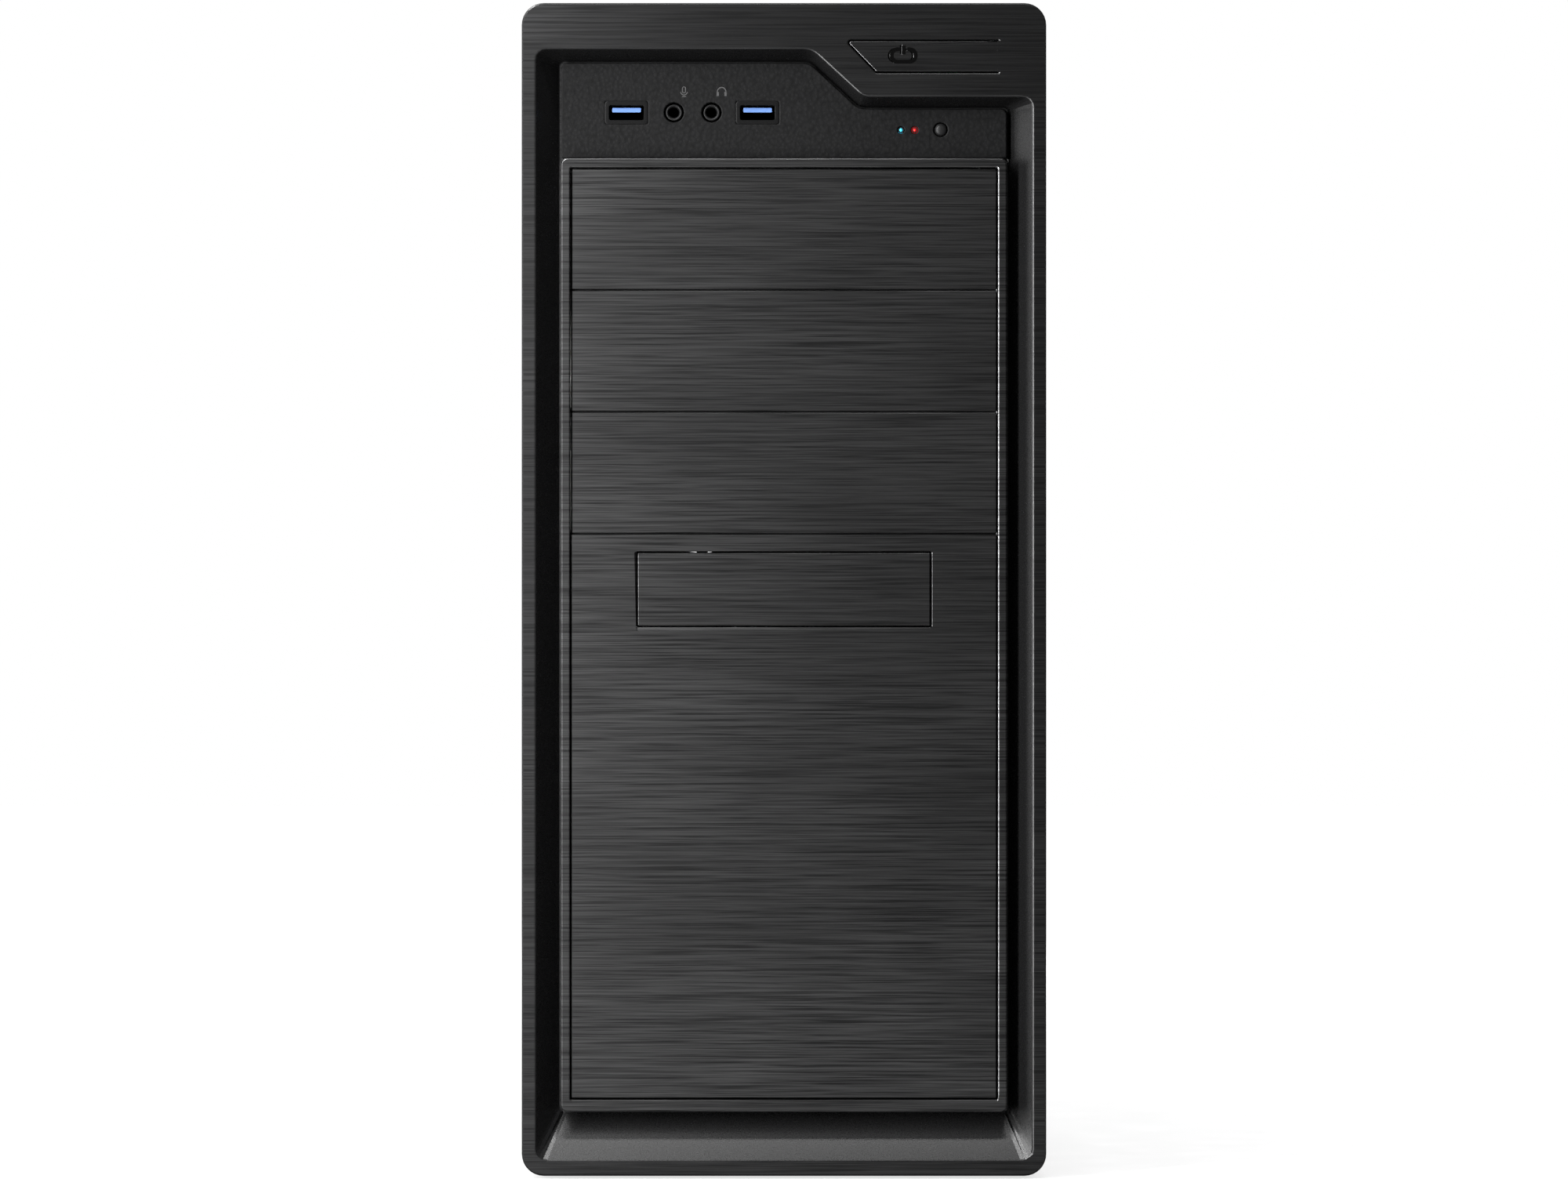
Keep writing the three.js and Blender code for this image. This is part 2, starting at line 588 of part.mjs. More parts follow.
function frontWall() {
  const hole = (x0, x1, z0, z1) => box(x0, x1, CASE_FRONT - 1, CASE_FRONT + SHEET + 1, z0, z1);
  const sheet = box(-WALL_SIDE, WALL_SIDE, CASE_FRONT, CASE_FRONT + SHEET, WALL_BOTTOM, WALL_TOP);
  const bays = hole(-BAYS.side, BAYS.side, BAYS.z0 - 0.2, BAYS.z1 - 0.1);
  const smallBay = hole(SMALL_COVER.x0, SMALL_COVER.x1, SMALL_COVER.z0 - 0.6, SMALL_COVER.z1 + 0.6);
  const sockets = hole(SHELF.x0 - 2, 30, SHELF.top - GAP, SHELF.top + 19.6);
  const vents = Array.from({ length: WALL_VENTS.count }, (_, i) => {
    const { count, pitch, height, side, middle } = WALL_VENTS;
    const z = middle + (i - (count - 1) / 2) * pitch;
    return hole(-side, side, z - height / 2, z + height / 2);
  });
  const clipHoles = CLIP_HEIGHTS.flatMap((z) => {
    const reach = CLIP_HALF + 1;
    const inner = CLIP_X.barb - 1.2;
    const outer = CLIP_X.outer + 1;
    return [hole(inner, outer, z - reach, z + reach), hole(-outer, -inner, z - reach, z + reach)];
  });
  return cut(sheet, bays, smallBay, sockets, ...vents, ...clipHoles);
}

// A rectangular sleeve of sheet, open at the front and back, with a slot in each side for every drive.
function driveCage({ side, z0, z1, back }, slotHeights) {
  const front = CASE_FRONT + SHEET + GAP;
  const sleeve = cut(
    box(-side - SHEET, side + SHEET, front, back, z0 - SHEET, z1 + SHEET),
    box(-side, side, front - 1, back + 1, z0, z1),
  );
  const slots = slotHeights.map((z) => box(-side - 5, side + 5, front + 24, back - 24, z - 2.5, z + 2.5));
  return cut(sleeve, ...slots);
}

// ---- Power supply, in the top of the back ----
const PSU_FAN = { x: 28, z: (PSU.z0 + PSU.z1) / 2, radius: 37 };
const INLET = { x: -42, z: 345, width: 27.4, height: 20, halfWidth: 12, halfHeight: 8 };
const ROCKER = { x: -42, z: 377, width: 19, height: 13 };
const PSU_VENTS = { from: 40, to: 60, pitch: 10, half: 2 }; // upright slots on each side of the leads

function psuCase() {
  const { x0, x1, y0, y1, z0, z1 } = PSU;
  const shell = cut(
    box(x0, x1, y0, y1, z0, z1),
    box(x0 + SHEET, x1 - SHEET, y0 + SHEET, y1 - SHEET, z0 + SHEET, z1 - SHEET),
  );
  const fanHole = barY(PSU_FAN.x, PSU_FAN.z, PSU_FAN.radius, y1 - 5, y1 + 5, 32);
  const { x, z, width, height } = INLET;
  const inletHole = box(x - width / 2, x + width / 2, y1 - 5, y1 + 5, z - height / 2, z + height / 2);
  const rockerHole = box(
    ROCKER.x - ROCKER.width / 2 - GAP, ROCKER.x + ROCKER.width / 2 + GAP, y1 - 5, y1 + 5,
    ROCKER.z - ROCKER.height / 2 - GAP, ROCKER.z + ROCKER.height / 2 + GAP,
  );
  const vents = [];
  for (let ventX = PSU_VENTS.from; ventX <= PSU_VENTS.to; ventX += PSU_VENTS.pitch) {
    for (const middle of [-ventX, ventX]) {
      const { half } = PSU_VENTS;
      vents.push(box(middle - half, middle + half, y0 - 5, y0 + 5, z0 + 40, z1 - 12));
    }
  }
  return cut(shell, fanHole, inletHole, rockerHole, ...vents);
}

// The mains inlet: a socket with three blades.
function psuInlet() {
  const { x, z, width, height } = INLET;
  const face = PSU.y1;
  const body = box(
    x - width / 2 + GAP, x + width / 2 - GAP, face - 18, face + 0.5,
    z - height / 2 + GAP, z + height / 2 - GAP,
  );
  const { halfWidth, halfHeight } = INLET;
  const cavity = box(x - halfWidth, x + halfWidth, face - 15, face + 1, z - halfHeight, z + halfHeight);
  const blade = (bladeX, bladeZ) =>
    box(bladeX - 1, bladeX + 1, face - 16, face - 3, bladeZ - 2, bladeZ + 2);
  return join(cut(body, cavity), blade(x - 7, z + 0.5), blade(x, z + 4.5), blade(x + 7, z + 0.5));
}

// A rocker, drawn upright about its own pivot; it stands tipped to one side at rest.
const ROCKER_TILT = THREE.MathUtils.degToRad(8);
const ROCKER_PIVOT_Y = PSU.y1 - 3;

function psuRocker() {
  const reach = ROCKER.height / 2 - 0.6;
  const section = [
    [-4, -3],
    [4.5, -reach],
    [3.2, 0],
    [4.5, reach],
    [-4, 3],
  ];
  const halfWidth = ROCKER.width / 2 - 0.5;
  return alongX(polygon(section), -halfWidth, halfWidth);
}

// A finger guard: rings of wire with two crossed bars.
function fanGuard(radius) {
  const wire = 0.8;
  const rings = [1, 0.7, 0.4].map((share) =>
    new THREE.TorusGeometry(radius * share, wire, 4, 24).rotateX(Math.PI / 2),
  );
  const bar = (turn) => box(-radius - 4, radius + 4, 0.2, 1.2, -wire, wire).rotateY(turn);
  return join(...rings, bar(Math.PI / 4), bar(-Math.PI / 4));
}

// ---- Fans: each is drawn about its own centre with its shaft along Y ----
const BLADES = 7;
const PSU_ROTOR = { size: 78, thick: 24 };

function fanFrame(size, thick) {
  const half = size / 2;
  const bore = half - 2.5;
  const screw = half - size * 0.054;
  const corners = [[-1, -1], [1, -1], [1, 1], [-1, 1]];
  const screwHoles = corners.map(([sx, sz]) => barY(sx * screw, sz * screw, 2.1, -thick, thick, 6));
  const body = cut(
    alongY(outline(rectangle(-half, half, -half, half, 4)), -thick / 2, thick / 2, 2),
    barY(0, 0, bore, -thick, thick, 28),
    ...screwHoles,
  );
  const motor = barY(0, 0, size * 0.2, thick / 2 - 3, thick / 2, 16);
  const arms = [0, 1].map((turn) =>
    box(-half + 1, half - 1, thick / 2 - 3, thick / 2, -1.6, 1.6).rotateY(((2 * turn + 1) * Math.PI) / 4),
  );
  return join(body, motor, ...arms);
}

function fanRotor(size, thick, bladeCount) {
  const hub = size * 0.19;
  const tip = size / 2 - 4;
  const front = -thick / 2 + 1;
  const back = thick / 2 - 4;
  const chord = 0.72 * (back - front) * Math.SQRT2;
  const blades = Array.from({ length: bladeCount }, (_, i) =>
    box(hub - 1, tip, -0.8, 0.8, -chord / 2, chord / 2)
      .rotateX(Math.PI / 4)
      .translate(0, (front + back) / 2, 0)
      .rotateY((2 * Math.PI * i) / bladeCount),
  );
  return join(barY(0, 0, hub, front, back, 16), ...blades);
}

// ---- Motherboard, on its tray inside the right side ----
const BOARD_FACE = 76.4; // the side with the components, which looks towards the left side panel
const BOARD_BACK = BOARD_FACE + BOARD;
const TRAY_X = 84;
const BOARD_AREA = { y0: 12, y1: 183.5, z0: 85, z1: 311.5 };
const CPU = { y: 112, z: 252 };
const CPU_FAN = { size: 80, thick: 20 };
const HEATSINK = { x0: 38, x1: 69, size: 84 };
const RAM = { y: [38, 48], z0: 172, z1: 305, x0: 40, x1: 70 };
const STANDOFFS = [20, 98, 176].flatMap((y) => [95, 200, 303].map((z) => [y, z]));
const TRAY = { y0: -45, z0: 68, z1: 330, fold: 76.6 };
const POWER_SOCKET = { x: BOARD_FACE - 14, y: 22, z: 221 };
const SATA_SOCKET = { x: BOARD_FACE - 9, y: 26, z: 130 };
const PANEL_HEADER = { x: BOARD_FACE - 9, y: 30, z: 92 };

function motherboardTray() {
  const { y0, z0, z1, fold } = TRAY;
  const plate = box(TRAY_X, TRAY_X + SHEET, y0, CASE_BACK - SHEET - GAP, z0, z1);
  const flange = box(fold, TRAY_X + SHEET, y0, y0 + SHEET, z0, z1);
  const cableWindow = outline(rectangle(y0 + 10, y0 + 40, z0 + 32, z1 - 40, 6));
  const cableHole = alongX(cableWindow, TRAY_X - 1, TRAY_X + 2);
  const posts = STANDOFFS.map(([y, z]) => barX(y, z, 3, BOARD_BACK + GAP, TRAY_X + 0.5, 6));
  return join(cut(join(plate, flange), cableHole), ...posts);
}

function motherboard() {
  const { y0, y1, z0, z1 } = BOARD_AREA;
  const board = box(BOARD_FACE, BOARD_BACK, y0, y1, z0, z1);
  // A block on the board, from its middle, its half sizes and its height.
  const block = (y, z, halfY, halfZ, height) =>
    box(BOARD_FACE - height, BOARD_FACE + 0.5, y - halfY, y + halfY, z - halfZ, z + halfZ);
  const plug = (socket, halfY, halfZ) => block(socket.y, socket.z, halfY, halfZ, BOARD_FACE - socket.x);
  const cpuSocket = block(CPU.y, CPU.z, 20, 20, 7);
  const ramSockets = RAM.y.map((y) => block(y, (RAM.z0 + RAM.z1) / 2, 3.2, (RAM.z1 - RAM.z0) / 2 + 3, 6));
  const cardSlots = [44.5, 15, 15].map((half, i) =>
    block(60 + half, SLOT_TOP - i * SLOT_PITCH, half, 3.5, 11),
  );
  const chipset = block(76, 164, 16, 16, 10);
  const plugs = [plug(POWER_SOCKET, 5, 26), plug(SATA_SOCKET, 8, 4), plug(PANEL_HEADER, 12, 3)];
  return join(board, cpuSocket, ...ramSockets, ...cardSlots, chipset, ...plugs);
}

// A base plate with upright fins.
function heatsink() {
  const { x0, x1, size } = HEATSINK;
  const base = 8;
  const fins = 14;
  const y0 = CPU.y - size / 2;
  const block = box(x0, x1, y0, y0 + size, CPU.z - size / 2, CPU.z + size / 2);
  const pitch = size / fins;
  const channels = Array.from({ length: fins - 1 }, (_, i) => {
    const y = y0 + pitch * (i + 1);
    return box(x0 - 1, x1 - base, y - 2, y + 2, CPU.z - size, CPU.z + size);
  });
  return cut(block, ...channels);
}

function ramModule(y) {
  const card = box(RAM.x0, RAM.x1, y - 0.7, y + 0.7, RAM.z0, RAM.z1);
  const chips = [0, 1, 2, 3, 5, 6, 7, 8].map((i) => {
    const z = RAM.z0 + 8 + i * 13.6;
    return box(RAM.x0 + 8, RAM.x0 + 20, y - 1.7, y, z, z + 9);
  });
  return join(card, ...chips);
}

// Rear sockets: each stands on the board and looks out through the shield.
const PORT_BACK = CASE_BACK + 1;
const NETWORK_SOCKET = { x0: 62, x1: 73 };
const REAR_PORTS = {
  rear_keyboard_port: { z: 300, height: 14, x: 60, depth: 13 },
  rear_display_port: { z: 272, height: 31, x: 60, depth: 16 },
  rear_network_port: { z: 240, height: 16, x: 46, depth: 21 },
  rear_usb_port: { z: 212, height: 30, x: 60.5, depth: 18 },
  rear_audio_jacks: { z: 175, height: 38, x: 63.5, depth: 14 },
};

function rearPort(name) {
  const { z, height, x, depth } = REAR_PORTS[name];
  const front = PORT_BACK - depth;
  const body = box(x, BOARD_FACE - GAP, front, PORT_BACK, z - height / 2, z + height / 2);
  const middle = (x + BOARD_FACE) / 2;
  if (name === "rear_keyboard_port") {
    const pin = barY(middle, z, 1.6, PORT_BACK - 8, PORT_BACK - 1, 8);
    return join(cut(body, barY(middle, z, 5, PORT_BACK - 7, PORT_BACK + 1, 20)), pin);
  }
  if (name === "rear_display_port") {
    const mouth = outline(rectangle(middle - 4, middle + 4, z - 9, z + 9, 1.5));
    return cut(body, alongY(mouth, PORT_BACK - 5, PORT_BACK + 1));
  }
  if (name === "rear_network_port") {
    const plugSpace = box(NETWORK_SOCKET.x0, NETWORK_SOCKET.x1, PORT_BACK - 15, PORT_BACK + 1, z - 6, z + 6);
    return cut(body, plugSpace);
  }
  if (name === "rear_usb_port") {
    const mouths = [];
    const tongues = [];
    for (const [column, row] of [[-1, -1], [1, -1], [-1, 1], [1, 1]]) {
      const portX = middle + column * 3.9;
      const portZ = z + row * 7.2;
      mouths.push(box(portX - 2.6, portX + 2.6, PORT_BACK - 14, PORT_BACK + 1, portZ - 6.2, portZ + 6.2));
      tongues.push(box(portX + 0.2, portX + 1.9, PORT_BACK - 15, PORT_BACK - 1, portZ - 5.1, portZ + 5.1));
    }
    return join(cut(body, ...mouths), ...tongues);
  }
  const jackHole = (dz) => barY(middle, z + dz, JACK_RADIUS, PORT_BACK - 11, PORT_BACK + 1, 12);
  return cut(body, ...[-12.5, 0, 12.5].map(jackHole));
}

// The shield fills the rear wall's window from inside and has a hole for each socket.
function ioShield() {
  const y1 = CASE_BACK - SHEET - GAP;
  const y0 = y1 - SHEET;
  const lap = 1.5; // how far it reaches past the window
  const { x0, x1, z0, z1 } = IO_WINDOW;
  const plate = box(x0 - lap, x1 + lap, y0, y1, z0 - lap, z1 + lap);
  const holes = Object.values(REAR_PORTS).map(({ z, height, x }) =>
    box(x - 0.5, BOARD_FACE, y0 - 1, y1 + 1, z - height / 2 - 0.5, z + height / 2 + 0.5),
  );
  return cut(plate, ...holes);
}

// ---- Storage ----
const HARD_DRIVE = { x0: -50.8, x1: 50.8, y0: -150, y1: -3, z0: 158.4, z1: 184.5 };

function hardDrive() {
  const { x0, x1, y0, y1, z0, z1 } = HARD_DRIVE;
  const body = alongY(outline(rectangle(x0, x1, z0 + 2, z1 - 1.5, 1)), y0, y1);
  const lid = box(x0 + 4, x1 - 4, y0 + 4, y1 - 18, z1 - 2, z1);
  const circuit = box(x0 + 5, x1 - 5, y0 + 40, y1 - 2, z0, z0 + 3);
  return join(body, lid, circuit);
}

// ---- Feet ----
function foot(x, y) {
  const top = CASE_BOTTOM - GAP;
  const profile = [
    [0, 0],
    [10.5, 0],
    [11.5, 1],
    [13, top - 1],
    [13, top],
    [0, top],
  ];
  const points = profile.map(([radius, along]) => new THREE.Vector2(radius, along));
  return new THREE.LatheGeometry(points, 16).rotateX(Math.PI / 2).translate(x, y, 0);
}

// ---- Leads held inside the case: each runs through points chosen along its route ----
function lead(radius, points) {
  const places = points.map(([x, y, z]) => new THREE.Vector3(x, y, z));
  const extrudePath = new THREE.CatmullRomCurve3(places, false, "centripetal");
  const options = { extrudePath, steps: 20, curveSegments: 4, bevelEnabled: false };
  return new THREE.ExtrudeGeometry(circle(0, 0, radius), options);
}

const MAIN_LEAD = [
  [14, PSU.y0 - GAP, 334],
  [14, 37, 334],
  [14, 27, 316],
  [20, 26, 262],
  [38, 22.5, 228],
  [52, 22, POWER_SOCKET.z],
  [POWER_SOCKET.x - GAP, 22, POWER_SOCKET.z],
];
const DRIVE_POWER_LEAD = [
  [-12, PSU.y0 - GAP, 332],
  [-12, 38, 332],
  [-16, 33, 308],
  [-24, 30, 240],
  [-22, 22, 186],
  [-20, 7, 171],
  [-20, HARD_DRIVE.y1 + GAP, 171],
];
const DATA_LEAD = [
  [26, HARD_DRIVE.y1 + GAP, 171],
  [26, 10, 171],
  [30, 22, 160],
  [46, 26, 138],
  [58, 26, SATA_SOCKET.z],
  [SATA_SOCKET.x - GAP, 26, SATA_SOCKET.z],
];
const PANEL_LEAD = [
  [-33, CASE_FRONT + 12 + GAP, SOCKET_BOARD.top - 0.8],
  [-33, CASE_FRONT + 22, SOCKET_BOARD.top - 0.8],
  [-52, -90, 359],
  [-56, -10, 359],
  [-56, 10, 358],
  [-55, 20, 345],
  [-54, 22, 310],
  [-52, 21, 180],
  [-30, 22, 120],
  [30, 28, 94],
  [56, 30, PANEL_HEADER.z],
  [PANEL_HEADER.x - GAP, 30, PANEL_HEADER.z],
];

// ---- Assembly ----
add("bottom_pan", alongY(coverSection(CASE_BOTTOM, 1), PANEL_FRONT, CASE_BACK), paintedSteel);
add("top_cover", alongY(coverSection(CASE_TOP, -1), PANEL_FRONT, CASE_BACK), paintedSteel);
add("rear_wall", rearWall(), bareSteel);
add("front_wall", frontWall(), bareSteel);
add("motherboard_tray", motherboardTray(), bareSteel);
const bayMiddles = BAY_LINES.map((z) => z + BAY_PITCH / 2);
add("drive_bay_cage", driveCage(BAYS, bayMiddles), bareSteel);
const smallBayMiddles = [
  (HARD_DRIVE.z0 + HARD_DRIVE.z1) / 2,
  (SMALL_COVER.z0 + SMALL_COVER.z1) / 2,
];
add("hard_drive_cage", driveCage(SMALL_BAYS, smallBayMiddles), bareSteel);

const FOOT_X = 60;
for (const [place, y] of [["front", -135], ["rear", 150]]) {
  add("foot_" + place + "_left", foot(-FOOT_X, y), softBlack);
  add("foot_" + place + "_right", foot(FOOT_X, y), softBlack);
}

for (const [place, side] of [["left", -1], ["right", 1]]) {
  add(place + "_side_panel", sidePanel(), paintedSteel).scale.x = side;
  add(place + "_lower_thumbscrew", thumbscrew(side * SCREW_X, SCREW_Z[0]), mattBlack);
  add(place + "_upper_thumbscrew", thumbscrew(side * SCREW_X, SCREW_Z[1]), mattBlack);
}

add("front_bezel", frontBezel(), brushedBlack);
add("io_panel", ioPanel(), mattBlack);
add("centre_frame", centreFrame(), brushedBlack);
["upper", "middle", "lower"].forEach((place, i) => add("bay_cover_" + place, bayCover(i), brushedBlack));
add("lower_panel", lowerPanel(), brushedBlack);
add("small_bay_cover", smallBayCover(), brushedBlack);
add("power_button", powerButton(), brushedBlack);
add("reset_button", resetButton(), mattBlack);
add("power_lamp_lens", lampLens(LAMP_X[0]), cyanLens);
add("drive_lamp_lens", lampLens(LAMP_X[1]), redLens);

add("io_bracket", ioBracket(), bareSteel);
add("socket_board", socketBoard(), boardGreen);
add("switch_board", switchBoard(), boardGreen);
add("usb_port_left", usbPort(USB_X[0]), brightSteel);
add("usb_port_right", usbPort(USB_X[1]), brightSteel);
add("microphone_jack", audioJack(JACK_X[0]), mattBlack);
add("headphone_jack", audioJack(JACK_X[1]), mattBlack);

add("psu_case", psuCase(), bareSteel);
add("psu_inlet", psuInlet(), mattBlack);
const rockerMesh = add("psu_rocker", psuRocker(), mattBlack);
rockerMesh.position.set(ROCKER.x, ROCKER_PIVOT_Y, ROCKER.z);
rockerMesh.rotation.x = ROCKER_TILT;
const psuFan = new THREE.Group();
psuFan.position.set(PSU_FAN.x, PSU.y1, PSU_FAN.z);
tower.add(psuFan);
add("psu_fan_guard", fanGuard(PSU_FAN.radius - 1), brightSteel, psuFan).position.y = -SHEET - 1.6;
add("psu_fan_rotor", fanRotor(PSU_ROTOR.size, PSU_ROTOR.thick, BLADES), mattBlack, psuFan).position.y = -18;

const rearFan = new THREE.Group();
rearFan.position.set(REAR_FAN.x, CASE_BACK - SHEET - GAP - REAR_FAN.thick / 2, REAR_FAN.z);
tower.add(rearFan);
add("rear_fan_frame", fanFrame(REAR_FAN.size, REAR_FAN.thick), mattBlack, rearFan);
add("rear_fan_rotor", fanRotor(REAR_FAN.size, REAR_FAN.thick, BLADES), mattBlack, rearFan);

const cpuFan = new THREE.Group();
cpuFan.position.set(HEATSINK.x0 - GAP - CPU_FAN.thick / 2, CPU.y, CPU.z);
cpuFan.rotation.z = -Math.PI / 2;
tower.add(cpuFan);
add("cpu_fan_frame", fanFrame(CPU_FAN.size, CPU_FAN.thick), mattBlack, cpuFan);
add("cpu_fan_rotor", fanRotor(CPU_FAN.size, CPU_FAN.thick, BLADES), mattBlack, cpuFan);

add("motherboard", motherboard(), boardGreen);
add("cpu_heatsink", heatsink(), aluminium);
RAM.y.forEach((y, i) => add("ram_module_" + (i + 1), ramModule(y), boardGreen));
add("io_shield", ioShield(), brightSteel);
Object.keys(REAR_PORTS).forEach((name) => add(name, rearPort(name), brightSteel));
add("hard_drive", hardDrive(), aluminium);

add("main_power_lead", lead(5, MAIN_LEAD), cableBlack);
add("drive_power_lead", lead(3, DRIVE_POWER_LEAD), cableBlack);
add("drive_data_lead", lead(2.6, DATA_LEAD), cableRed);
add("front_panel_lead", lead(3, PANEL_LEAD), cableBlack);

export default tower;
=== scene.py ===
# The looks of the desktop computer tower. Metres, in the row's frame: +X right, +Y to the back, +Z up.
import json
import math
import bpy
import bmesh
from mathutils import Matrix, Vector

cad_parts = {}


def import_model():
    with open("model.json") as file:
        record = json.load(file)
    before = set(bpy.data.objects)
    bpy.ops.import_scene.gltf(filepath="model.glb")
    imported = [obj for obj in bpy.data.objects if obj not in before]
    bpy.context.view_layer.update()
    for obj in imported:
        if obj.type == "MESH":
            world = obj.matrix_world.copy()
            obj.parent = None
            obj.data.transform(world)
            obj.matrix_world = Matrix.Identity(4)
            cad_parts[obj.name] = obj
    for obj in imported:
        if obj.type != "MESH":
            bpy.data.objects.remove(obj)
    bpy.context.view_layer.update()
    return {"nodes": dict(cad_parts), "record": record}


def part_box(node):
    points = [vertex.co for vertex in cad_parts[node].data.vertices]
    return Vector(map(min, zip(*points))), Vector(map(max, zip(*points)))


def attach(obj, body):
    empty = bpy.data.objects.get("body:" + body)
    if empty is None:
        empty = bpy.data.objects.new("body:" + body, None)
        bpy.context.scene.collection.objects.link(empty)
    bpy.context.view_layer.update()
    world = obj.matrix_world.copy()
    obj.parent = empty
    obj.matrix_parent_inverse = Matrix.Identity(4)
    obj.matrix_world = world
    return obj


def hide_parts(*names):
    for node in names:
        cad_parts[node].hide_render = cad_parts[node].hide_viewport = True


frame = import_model()

MM = 0.001
BEZEL_LOW, BEZEL_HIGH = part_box("front_bezel")
MIX_SOCKETS = {"VECTOR": (4, 5, 1), "RGBA": (6, 7, 2)}  # the Mix node's two inputs and its result


# ---- Node graphs ----
class Graph:
    """A material's or world's node tree, with one call to add a node and set or link its inputs."""

    def __init__(self, tree):
        self.tree = tree
        tree.nodes.clear()

    def node(self, kind, inputs=None, **settings):
        node = self.tree.nodes.new(kind)
        for key, value in settings.items():
            setattr(node, key, value)
        for key, value in (inputs or {}).items():
            socket = node.inputs[key]
            if isinstance(value, bpy.types.NodeSocket):
                self.tree.links.new(value, socket)
            else:
                socket.default_value = value
        return node

    def place(self, scale):
        """Object coordinates, in metres, times one scale or a scale for each axis."""
        if not isinstance(scale, tuple):
            scale = (scale, scale, scale)
        coordinates = self.node("ShaderNodeTexCoord").outputs["Object"]
        return self.node("ShaderNodeMapping", {"Vector": coordinates, "Scale": scale}).outputs["Vector"]

    def noise(self, scale, detail=2.0, roughness=0.5):
        inputs = {"Vector": self.place(scale), "Scale": 1.0, "Detail": detail, "Roughness": roughness}
        return self.node("ShaderNodeTexNoise", inputs).outputs["Fac"]

    def cells(self, scale, feature="F1", output="Distance"):
        inputs = {"Vector": self.place(scale), "Scale": 1.0}
        return self.node("ShaderNodeTexVoronoi", inputs, feature=feature).outputs[output]

    def remap(self, value, low, high, to_low, to_high):
        inputs = {"Value": value, "From Min": low, "From Max": high, "To Min": to_low, "To Max": to_high}
        return self.node("ShaderNodeMapRange", inputs).outputs["Result"]

    def spread(self, noise, low, high):
        """The usual range of a noise, spread from low to high."""
        return self.remap(noise, 0.3, 0.7, low, high)

    def math(self, operation, a, b=0.0):
        return self.node("ShaderNodeMath", {0: a, 1: b}, operation=operation).outputs[0]

    def blend(self, a, share, b):
        """A value made of a share of a and the rest of b."""
        return self.math("ADD", self.math("MULTIPLY", a, share), self.math("MULTIPLY", b, 1.0 - share))

    def mix(self, factor, a, b, kind="RGBA"):
        """A mix of two colours, or of two vectors."""
        node = self.node("ShaderNodeMix", {"Factor": factor}, data_type=kind)
        first, second, result = MIX_SOCKETS[kind]
        for socket, value in ((node.inputs[first], a), (node.inputs[second], b)):
            if isinstance(value, bpy.types.NodeSocket):
                self.tree.links.new(value, socket)
            else:
                socket.default_value = (*value, 1.0)
        return node.outputs[result]

    def bump(self, height, depth, strength):
        """A normal from a height between 0 and 1 that stands for a depth in metres."""
        inputs = {"Height": height, "Distance": depth, "Strength": strength}
        return self.node("ShaderNodeBump", inputs).outputs["Normal"]

    def upright(self):
        """The direction across the film's streaks."""
        return self.node("ShaderNodeCombineXYZ", {"Z": 1.0}).outputs[0]


def surface(colour, roughness, normal=None, metallic=0.0, shine=0.5, **others):
    """The inputs of the Principled shader."""
    inputs = {"Base Color": colour, "Roughness": roughness}
    inputs |= {"Metallic": metallic, "Specular IOR Level": shine}
    if normal is not None:
        inputs["Normal"] = normal
    return inputs | others


def material(name, build):
    """A material whose surface is the Principled shader that build(graph) returns the inputs of."""
    made = bpy.data.materials.new(name)
    made.use_nodes = True
    graph = Graph(made.node_tree)
    shader = graph.node("ShaderNodeBsdfPrincipled", build(graph))
    graph.node("ShaderNodeOutputMaterial", {"Surface": shader.outputs[0]})
    return made


# ---- Materials ----
COVER_FILM = ((0.027, 0.027, 0.0274), (0.124, 0.124, 0.125))  # between the streaks, and on them
LIP_FILM = ((0.024, 0.024, 0.0244), (0.073, 0.073, 0.074))
SPREAD = 0.3  # how far the film spreads its highlight across the streaks


def brushed(graph, dark, light):
    """Black metallised film with fine streaks along X: the colour, roughness and normal."""
    fine = graph.noise((36, 36, 3000), 2.0, 0.6)
    broad = graph.noise((16, 16, 1250), 3.0, 0.62)
    cloud = graph.noise((11, 11, 26), 2.0)
    streaks = graph.blend(fine, 0.45, broad)
    lit = graph.remap(streaks, 0.40, 0.61, 0.0, 1.0)
    patchy = graph.math("MULTIPLY", lit, graph.spread(cloud, 0.6, 1.0))
    colour = graph.mix(patchy, dark, light)
    roughness = graph.remap(streaks, 0.36, 0.66, 0.36, 0.30)
    normal = graph.bump(streaks, 0.02 * MM, 0.5)
    return colour, roughness, normal


def film(dark, light):
    """A moulding covered with brushed film."""

    def build(graph):
        colour, roughness, normal = brushed(graph, dark, light)
        return surface(colour, roughness, normal, 1.0, Anisotropic=SPREAD, Tangent=graph.upright())

    return build


